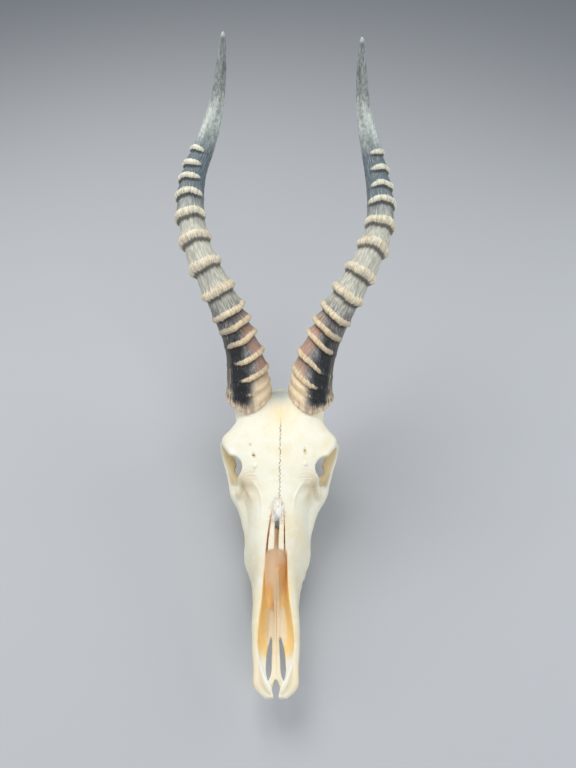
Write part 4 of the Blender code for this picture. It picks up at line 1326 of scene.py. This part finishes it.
class Finish:
    """A material whose shader is set by name, with the nodes that lead to it."""

    def __init__(self, name, **constants):
        self.material = bpy.data.materials.new(name)
        self.material.use_nodes = True
        self.tree = self.material.node_tree
        self.shader = self.tree.nodes["Principled BSDF"]
        for label, value in constants.items():
            self.shader.inputs[label.replace("_", " ")].default_value = value

    def node(self, kind, settings, inputs, output=0):
        """A node of that kind: its settings first, then the values or links of its sockets."""
        made = self.tree.nodes.new(kind)
        for label, value in settings.items():
            setattr(made, label, value)
        for label, value in inputs.items():
            if isinstance(value, Socket):
                self.tree.links.new(value.link, made.inputs[label])
            else:
                made.inputs[label].default_value = value
        return Socket(self, made.outputs[output])

    def attribute(self, name):
        """The values of that name on the mesh."""
        return self.node("ShaderNodeAttribute", {"attribute_name": name}, {}, "Fac")

    def step(self, value, low, high):
        """0 at low and 1 at high, with a smooth rise between them."""
        facts = {"interpolation_type": "SMOOTHSTEP"}
        return self.node("ShaderNodeMapRange", facts, {"Value": value, "From Min": low, "From Max": high})

    def mix(self, share, one, other):
        """The first colour where the share is 0, the second where it is 1."""
        colours = {0: share, 6: self.colour(one), 7: self.colour(other)}
        return self.node("ShaderNodeMix", {"data_type": "RGBA"}, colours, 2)

    def colour(self, value):
        return value if isinstance(value, Socket) else (*value, 1.0)

    def noise(self, place, scale, detail=2.0, rough=0.5):
        sockets = {"Vector": place, "Scale": scale, "Detail": detail, "Roughness": rough}
        return self.node("ShaderNodeTexNoise", {}, sockets, "Fac")

    def place(self):
        """Where a point is in the skull's frame, in mm: the row frame turned back and moved."""
        position = self.node("ShaderNodeTexCoord", {}, {}, "Object")
        x, u, w = ORIGIN
        shift = (x, u * cos(NOSE_UP) + w * sin(NOSE_UP), u * sin(NOSE_UP) - w * cos(NOSE_UP))
        facts = {"Vector": position, "Scale": (1000, 1000, 1000), "Rotation": (NOSE_UP, 0, 0), "Location": shift}
        return self.node("ShaderNodeMapping", {}, facts)

    def parts(self, vector):
        """The three numbers of a vector."""
        return [self.node("ShaderNodeSeparateXYZ", {}, {0: vector}, k) for k in range(3)]

    def stretched(self, vector, scale):
        return self.node("ShaderNodeMapping", {}, {"Vector": vector, "Scale": scale})

    def joined(self, x, y, z):
        return self.node("ShaderNodeCombineXYZ", {}, {0: x, 1: y, 2: z})

    def length(self, vector):
        return self.node("ShaderNodeVectorMath", {"operation": "LENGTH"}, {0: vector}, "Value")

    def feed(self, **links):
        """Lead sockets to the shader's inputs of those names."""
        for label, value in links.items():
            self.tree.links.new(value.link, self.shader.inputs[label.replace("_", " ")])

    def bump(self, height, distance):
        """A Bump node on the shader's normal: height 1 stands that many metres out."""
        normal = self.node("ShaderNodeBump", {}, {"Height": height, "Distance": distance, "Strength": 1.0})
        self.feed(Normal=normal)


def dress(pieces, made):
    """Give a finish to the pieces that wear it."""
    for piece in pieces:
        piece.data.materials.append(made.material)
    print(made.material.name, "has", len(made.tree.nodes), "nodes on", len(pieces), "piece(s)")


print("finishes can be written as arithmetic")

# %% [markdown]
# ### Bleached bone
# Cleaned bone is ivory, not white: warm over the middle of the forehead, tan in the hollows, and stained orange
# where the nose was. Between the horns a bluish grey is painted as shade and reflection, and the tan of the pits
# before the eyes is painted shade. All of these follow the shape, so they are measured on the mesh.
# Sutures, the zigzag seams between the bones, are lines of the position with a little noise in it.

# %% Colours and patterns of the bone
IVORY = (0.83, 0.805, 0.655)
WARM_IVORY = (0.80, 0.70, 0.46)
GOLDEN = (0.88, 0.71, 0.41)
# painted shade and reflection between the horns: a bluish grey
PAINTED_SHADE_BLUE_GREY = (0.46, 0.54, 0.53)
CHALK = (0.86, 0.86, 0.79)
TAN = (0.66, 0.53, 0.33)
WHITE = (0.80, 0.775, 0.70)
SPECK = (0.62, 0.54, 0.38)


class BoneFinish(Finish):
    """The bone's material, with the places and patterns that its colours are made from."""

    def __init__(self):
        super().__init__("bleached bone", Roughness=0.5, Specular_IOR_Level=0.4)
        self.at = self.place()
        self.x, self.u, self.w = self.parts(self.at)
        self.broad = self.noise(self.at, 0.035, 3.0)
        self.fine = self.noise(self.at, 0.35, 4.0, 0.6)
        self.wobble = self.noise(self.stretched(self.at, (0.2, 1.0, 0.2)), 0.3, 3.0, 0.7)
        self.mottle = self.noise(self.at, 0.12, 4.0, 0.6)
        self.white = self.attribute("white")


def ivory_bone(made):
    """Clouds of ivory, warmer towards the nose, with chalky and tan places, and painted bluish shade between the
    horns.
    """
    snout = 1.0 - made.step(made.u, 60, 175)
    colour = made.mix(made.step(made.broad + snout * 0.25, 0.42, 0.82) * 0.75, IVORY, WARM_IVORY)
    colour = made.mix(made.step(made.mottle, 0.50, 0.68) * 0.45, colour, CHALK)
    colour = made.mix((1.0 - made.step(made.mottle, 0.34, 0.46)) * 0.35, colour, WARM_IVORY)
    # warm and tan are stains; the bluish grey between the horns is painted shade and reflection
    for label, tint in (("warm", GOLDEN), ("cool", PAINTED_SHADE_BLUE_GREY), ("tan", TAN)):
        colour = made.mix(made.attribute(label), colour, tint)
    colour = made.mix(made.white, colour, WHITE)
    chalky = made.attribute("chalk") * 0.8 + (1.0 - made.step(made.u, 22, 52)) * 0.2
    return made.mix(chalky, colour, CHALK)


bone = BoneFinish()
bone_colour = ivory_bone(bone)
print("bone starts with", len(bone.tree.nodes), "nodes")

# %% [markdown]
# The nose was full of soft tissue, and its bones have kept the stain: amber and orange in front, rosy further in,
# and pale on the thin bones that stand up in it.

# %% Stains of the nose
ORANGE = (0.84, 0.50, 0.20)
AMBER = (0.90, 0.66, 0.29)
ROSY = (0.87, 0.66, 0.44)
PALE_TAN = (0.77, 0.68, 0.51)
SLIT_RED = (0.70, 0.45, 0.30)


def with_stains(made, colour):
    """The colour of the bone with the stains of the nose over it."""
    stain = made.mix(made.attribute("amber"), ORANGE, AMBER)
    stain = made.mix(made.attribute("rosy"), stain, ROSY)
    stain = made.mix(made.attribute("pale"), stain, PALE_TAN)
    colour = made.mix(made.attribute("nasal"), colour, stain)
    return made.mix(made.attribute("slit"), colour, SLIT_RED)


bone_colour = with_stains(bone, bone_colour)
print("with stains it has", len(bone.tree.nodes), "nodes")

# %% [markdown]
# Four kinds of line are drawn on the bone: the seam along the middle of the palate, the zigzag seam of the
# forehead, the cracks of the broken nasal bones, and the wrinkles of the patches beside the pits. Each starts as
# a distance from a line or a point, and a step or a sine turns it into a share of the line's colour.

# %% Lines of the bone
SEAM = (0.22, 0.15, 0.08)
CRACK = (0.36, 0.24, 0.13)
SEAM_X = 0.3                    # the seam wanders a little to the animal's left of the middle
PALATE_X = 0.6                  # and the seam of the palate a little more
WRINKLES_AT = (27.5, 146.0)     # distance from the middle and u of the point that the wrinkles run round


def palate_line(made):
    """The seam of the palate, in front above its floor and behind only below it."""
    wave = (made.wobble - 0.5) * 0.9
    line = 1.0 - made.step(abs(made.attribute("across") - PALATE_X + wave), 0.12, 0.36)
    above = (1.0 - made.step(made.u, 84, 97)) * (0.45 + made.step(made.u, 50, 62) * 0.5)
    below = (1.0 - made.step(made.u, 150, 166)) * (1.0 - made.step(made.w, 0.0, 2.0)) * 0.6
    return line * made.step(made.u, 22, 28) * (above + below)


def forehead_seam(made):
    """A zigzag along the head, broken here and there, which fades towards the horns."""
    zigzag = ((made.u * 0.3 + made.wobble * 2.0).zigzag() - 0.5) * 1.3
    off_seam = abs(made.x - SEAM_X + zigzag + (made.wobble - 0.5) * 3.0)
    seam = (1.0 - made.step(off_seam, 0.15, 0.52)) * made.step(made.w, 76, 80) * made.step(made.u, 146, 150)
    broken = made.step(made.noise(made.at, 0.6, 1.0), 0.34, 0.50)
    return seam * broken * (1.0 - made.step(made.u, 204, 216) * 0.88)


def nasal_cracks(made):
    """Fine splits along the broken bone, and a ragged dark edge round it."""
    splits = abs(made.noise(made.stretched(made.at, (1.0, 0.10, 0.1)), 0.55, 2.0, 0.5) - 0.5)
    crack = (1.0 - made.step(splits, 0.0, 0.030)) * made.white
    return crack + made.white * (1.0 - made.white) * made.step(made.wobble, 0.42, 0.60) * 1.8


def patch_wrinkles(made):
    """Rings of ripples round a point, where the patch is."""
    reach = made.length(made.joined(abs(made.x) - WRINKLES_AT[0], made.u - WRINKLES_AT[1], 0.0))
    return (reach * 2.3 + made.wobble * 15.0).sine() * made.attribute("patch")


line = palate_line(bone)
seam = forehead_seam(bone)
crack = nasal_cracks(bone)
wrinkle = patch_wrinkles(bone)
for share, tint in ((line * 0.55, CRACK), (seam * 0.72, SEAM), (crack * 0.7, CRACK)):
    bone_colour = bone.mix(share, bone_colour, tint)
bone_colour = bone.mix(bone.step(0.0 - wrinkle, 0.1, 0.9) * 0.28, bone_colour, TAN)
bone_colour = bone.mix(bone.step(bone.fine, 0.60, 0.78) * 0.16, bone_colour, SPECK)
print("with lines it has", len(bone.tree.nodes), "nodes")

# %% [markdown]
# Last comes the relief: a fine grain, drawn out along the head, and the same lines as grooves and ripples.

# %% Bone finish
BONE_RELIEF = 0.00035           # m that a height of 1 stands out
grain = bone.noise(bone.stretched(bone.at, (1.0, 0.25, 1.0)), 1.1, 3.0)
bone_height = bone.fine * 0.35 + grain * 0.35 - seam * 1.3 - crack * 0.5 + wrinkle * 0.35 - line * 0.6
bone.feed(Base_Color=bone_colour, Roughness=0.44 + bone.fine * 0.16)
bone.bump(bone_height, BONE_RELIEF)
dress([skull], bone)

# %% [markdown]
# ### Ringed horn
# Horn is keratin: nearly black and glossy where it is fresh, grey and fibrous where it has weathered, and pale on
# the worn crests of the rings. Fine lines run along the whole horn, so the noise is stretched along it. The angle
# enters as its sine and cosine, which leaves no seam.

# %% Patterns of the horn


class HornFinish(Finish):
    """The horn's material, with the patterns that its colours are made from.

    Distance is the share of the way from the base to the tip. Each pattern is a noise on the cylinder (sine,
    cosine, distance), which is drawn out along the horn, or across it where the distance counts for more.
    """

    def __init__(self):
        super().__init__("ringed horn", Roughness=0.45, Specular_IOR_Level=0.38)
        self.distance = self.attribute("distance")
        self.inward = self.attribute("inward")
        self.frontal = self.attribute("frontal")
        self.crest = self.attribute("crest")
        self.fibres = self.on_cylinder(2.6, 8.0, 4.0, 0.7)
        self.threads = self.on_cylinder(2.6, 19.0, 3.0, 0.7)
        self.coarse = self.on_cylinder(2.2, 2.6, 3.0)
        self.patches = self.on_cylinder(14.0, 1.6, 3.0)
        self.wrinkles = self.on_cylinder(45.0, 2.2, 4.0, 0.7)

    def on_cylinder(self, stretch, *facts):
        """A noise of (sine, cosine, distance times stretch): a small stretch draws it out along the horn."""
        return self.noise(self.joined(self.inward, self.frontal, self.distance * stretch), *facts)

    def patchy(self, amount):
        """The patches as a shift to both sides of 0, so that a border wanders."""
        return (self.patches - 0.5) * amount

    def cloudy(self, amount):
        """The same with the coarse pattern."""
        return (self.coarse - 0.5) * amount


horn = HornFinish()
print("horn starts with", len(horn.tree.nodes), "nodes")

# %% [markdown]
# The lower horn has worn unevenly. Its outer side is still black with a few scratches and a brown edge, and its
# inner side is pinkish brown. Between the two lies a painted sheen: a glossy reflection painted as grey with pale
# flecks. On the inner side at the base it is cream, and a rim of frayed brown fibres ends it.

# %% The lower horn
BLACK_HORN = (0.012, 0.014, 0.016)
SCRATCH_GREY = (0.20, 0.21, 0.215)
EDGE_BROWN = (0.085, 0.078, 0.066)
EDGE_STREAK = (0.60, 0.48, 0.33)
PINK_HORN = (0.45, 0.28, 0.215)
PINK_RUST = (0.40, 0.22, 0.13)
PINK_CREAM = (0.74, 0.55, 0.42)
# a painted sheen: a glossy reflection painted as dark grey with pale flecks
PAINTED_SHEEN_DARK = (0.14, 0.14, 0.14)
PAINTED_SHEEN_FLECK = (0.46, 0.47, 0.46)
HORN_CREAM = (0.97, 0.79, 0.54)
RIM_BROWN = (0.64, 0.46, 0.34)
VEIL_DARK = (0.105, 0.10, 0.10)
VEIL_LIGHT = (0.42, 0.41, 0.38)


def black_side(made):
    """Black horn with grey scratches, and streaks of brown on the outermost side."""
    outer_side = made.step(made.patchy(0.3) - made.inward, 0.55, 0.80)
    scratches = made.step(made.threads, 0.56, 0.70) * made.step(made.patches, 0.42, 0.62)
    dark = made.mix(scratches * 0.8, BLACK_HORN, SCRATCH_GREY)
    streaks = made.step(made.fibres - made.distance * 1.5, 0.36, 0.50)
    return made.mix(outer_side, dark, made.mix(streaks, EDGE_BROWN, EDGE_STREAK))


def pink_side(made):
    """Pinkish brown, rusty in patches, with cream threads and dark fibres."""
    pink = made.mix(made.step(made.patches, 0.44, 0.62) * 0.7, PINK_HORN, PINK_RUST)
    pink = made.mix(made.step(made.threads, 0.50, 0.68) * 0.55, pink, PINK_CREAM)
    return made.mix(made.step(made.fibres, 0.50, 0.75) * 0.6, pink, VEIL_DARK)


def lower_horn(made):
    """Black outside, a painted sheen, pink inside, and cream at the base, up to where a veil of grey begins."""
    # painted sheen between the black and the pink side
    painted_sheen_flecks = made.step(made.wrinkles * 0.5 + made.threads * 0.5, 0.46, 0.60)
    painted_sheen = made.mix(painted_sheen_flecks * 0.8, PAINTED_SHEEN_DARK, PAINTED_SHEEN_FLECK)
    low = made.mix(made.step(made.inward + made.patchy(0.6), 0.0, 0.50), black_side(made), painted_sheen)
    low = made.mix(made.step(made.inward + made.patchy(0.6), 0.36, 0.74), low, pink_side(made))
    base = made.step(made.inward + made.patchy(0.7), 0.15, 0.6) * (1.0 - made.step(made.distance, 0.055, 0.105))
    low = made.mix(base, low, HORN_CREAM)
    rim = 1.0 - made.step(made.distance + (made.threads - 0.5) * 0.05, 0.012, 0.036)
    low = made.mix(rim * 0.8, low, made.mix(made.step(made.fibres, 0.42, 0.60), RIM_BROWN, HORN_CREAM))
    veil = made.mix(made.step(made.threads, 0.48, 0.66), VEIL_DARK, VEIL_LIGHT)
    return made.mix(made.step(made.distance + made.patchy(0.12) - made.inward * 0.02, 0.19, 0.26), low, veil)


horn_colour = lower_horn(horn)
print("with its lower part it has", len(horn.tree.nodes), "nodes")

# %% [markdown]
# Further up the horn has weathered to a streaky grey. Then comes a band of dark slate, whose pale streaks are
# partly painted sheen, and the smooth tip is pale again and mottled, with a dark end and a painted highlight on
# its point.

# %% The upper horn
GREY_HORN = (0.38, 0.37, 0.31)
GREY_STREAK = (0.69, 0.68, 0.57)
GREY_SHADE = (0.20, 0.195, 0.17)
SLATE_HORN = (0.105, 0.14, 0.16)
# pale streaks of the slate band, partly real streaks and partly painted sheen
SLATE_STREAK_AND_SHEEN = (0.56, 0.63, 0.66)
TIP_LIGHT = (0.80, 0.85, 0.78)
TIP_DARK = (0.25, 0.28, 0.27)
TIP_SHADE = (0.10, 0.118, 0.122)
# a painted highlight on the very point of the tip
TIP_HIGHLIGHT = (0.80, 0.84, 0.82)
# painted shadow, with some dirt, below the rings
SHADOW_AND_DIRT_BROWN = (0.055, 0.045, 0.035)


def tip_colour(made):
    """Mottled light and dark, with more shade towards the end and a painted highlight on the point."""
    mottled = made.step(made.wrinkles * 0.7 + made.threads * 0.6 + made.patches * 0.5 - 0.4, 0.24, 0.72)
    tip = made.mix(mottled, TIP_DARK, TIP_LIGHT)
    shade = made.step(made.distance + made.cloudy(0.1), 0.82, 0.90)
    tip = made.mix(shade * (0.9 - mottled * 0.5), tip, TIP_SHADE)
    # painted highlight at the point
    return made.mix(made.step(made.distance, 0.986, 0.996) * 0.8, tip, TIP_HIGHLIGHT)


def upper_horn(made, low):
    """Grey, slate and tip over the colour of the lower horn, and painted shadow with some dirt below the rings.
    """
    grey = made.mix(made.step(made.threads, 0.38, 0.62), GREY_HORN, GREY_STREAK)
    grey = made.mix(made.step(made.fibres, 0.50, 0.72) * 0.7, grey, GREY_SHADE)
    # slate with pale streaks that are partly painted sheen
    slate = made.mix(made.step(made.threads, 0.50, 0.72) * 0.7, SLATE_HORN, SLATE_STREAK_AND_SHEEN)
    body = made.mix(made.step(made.distance + made.cloudy(0.12) + made.inward * 0.03, 0.235, 0.33), low, grey)
    body = made.mix(made.step(made.distance + made.cloudy(0.12), 0.46, 0.61), body, slate)
    body = made.mix(made.step(made.distance + made.cloudy(0.08), 0.70, 0.79), body, tip_colour(made))
    # painted shadow with some dirt below each ring, stronger above the base
    groove = made.attribute("under") * (0.35 + made.step(made.distance, 0.05, 0.11) * 0.5)
    return made.mix(groove, body, SHADOW_AND_DIRT_BROWN)


horn_colour = upper_horn(horn, horn_colour)
print("with its upper part it has", len(horn.tree.nodes), "nodes")

# %% [markdown]
# The crests of the rings are worn down to pale horn, tan near the base and paler further up, a little rusty in
# places and dull on the outer side. Between their beads lie darker gaps.

# %% The crests of the rings
CREST_TAN = (0.81, 0.65, 0.42)
CREST_MIDDLE = (0.82, 0.75, 0.58)
CREST_PALE = (0.80, 0.79, 0.64)
CREST_RUST = (0.72, 0.42, 0.18)
CREST_GREY = (0.42, 0.38, 0.30)
CREST_GAP = (0.44, 0.34, 0.21)


def crest_colour(made):
    """Tan, then paler up the horn, with rust, dull places, dark gaps and fine grey lines."""
    colour = made.mix(made.step(made.distance, 0.16, 0.40), CREST_TAN, CREST_MIDDLE)
    colour = made.mix(made.step(made.distance, 0.42, 0.60), colour, CREST_PALE)
    rust = made.step(made.patches, 0.50, 0.64) * (1.0 - made.step(made.distance, 0.46, 0.60))
    colour = made.mix(rust * 0.32, colour, CREST_RUST)
    dull = made.step(made.patchy(0.8) - made.inward, -0.3, 0.45) * (1.0 - made.step(made.distance, 0.22, 0.32))
    colour = made.mix(dull * 0.85, colour, CREST_GREY)
    colour = made.mix((1.0 - made.step(made.threads, 0.40, 0.52)) * 0.75, colour, CREST_GAP)
    return made.mix((1.0 - made.step(made.wrinkles, 0.36, 0.52)) * 0.4, colour, CREST_GREY)


HORN_RELIEF = 0.0006            # m that a height of 1 stands out
worn = horn.step(horn.crest + (horn.threads - 0.5) * 0.9, 0.28, 0.64)
horn_colour = horn.mix(worn, horn_colour, crest_colour(horn))
horn.feed(Base_Color=horn_colour, Roughness=0.32 + horn.fibres * 0.22 + worn * 0.16)
horn.bump(horn.fibres * 0.7 + horn.threads * 1.2 + horn.wrinkles * 0.4, HORN_RELIEF)
dress(horns, horn)

# %% [markdown]
# ### Enamel
# The crowns are glossy ivory with upright streaks of brown stain, tan towards their roots, and dark in the chewed
# valleys.

# %% Enamel finish
ENAMEL = (0.72, 0.65, 0.50)
ROOT_TAN = (0.52, 0.40, 0.24)
STAIN = (0.22, 0.13, 0.06)
VALLEY_DARK = (0.05, 0.03, 0.02)
ENAMEL_RELIEF = 0.0003          # m that a height of 1 stands out

enamel = Finish("tooth enamel", Roughness=0.3, Specular_IOR_Level=0.5)
tooth_place = enamel.place()
tooth_height = enamel.parts(tooth_place)[2]
streaks = enamel.noise(enamel.stretched(tooth_place, (1.0, 1.0, 0.12)), 1.2, 3.0)
root = enamel.step(tooth_height + (streaks - 0.5) * 5.0, -7.0, -2.0)
tooth_colour = enamel.mix(root * 0.8, ENAMEL, ROOT_TAN)
tooth_colour = enamel.mix(enamel.step(streaks, 0.52, 0.72) * 0.6, tooth_colour, STAIN)
tooth_colour = enamel.mix(enamel.step(enamel.attribute("pit"), 0.15, 0.55), tooth_colour, VALLEY_DARK)
enamel.feed(Base_Color=tooth_colour, Roughness=0.24 + streaks * 0.2)
enamel.bump(streaks, ENAMEL_RELIEF)
dress(teeth, enamel)

# %% [markdown]
# ### The floor
# A plain pale sheet, without pattern.

# %% Floor finish
dress([floor], Finish("pale floor", Base_Color=(0.44, 0.455, 0.475, 1), Roughness=0.75))
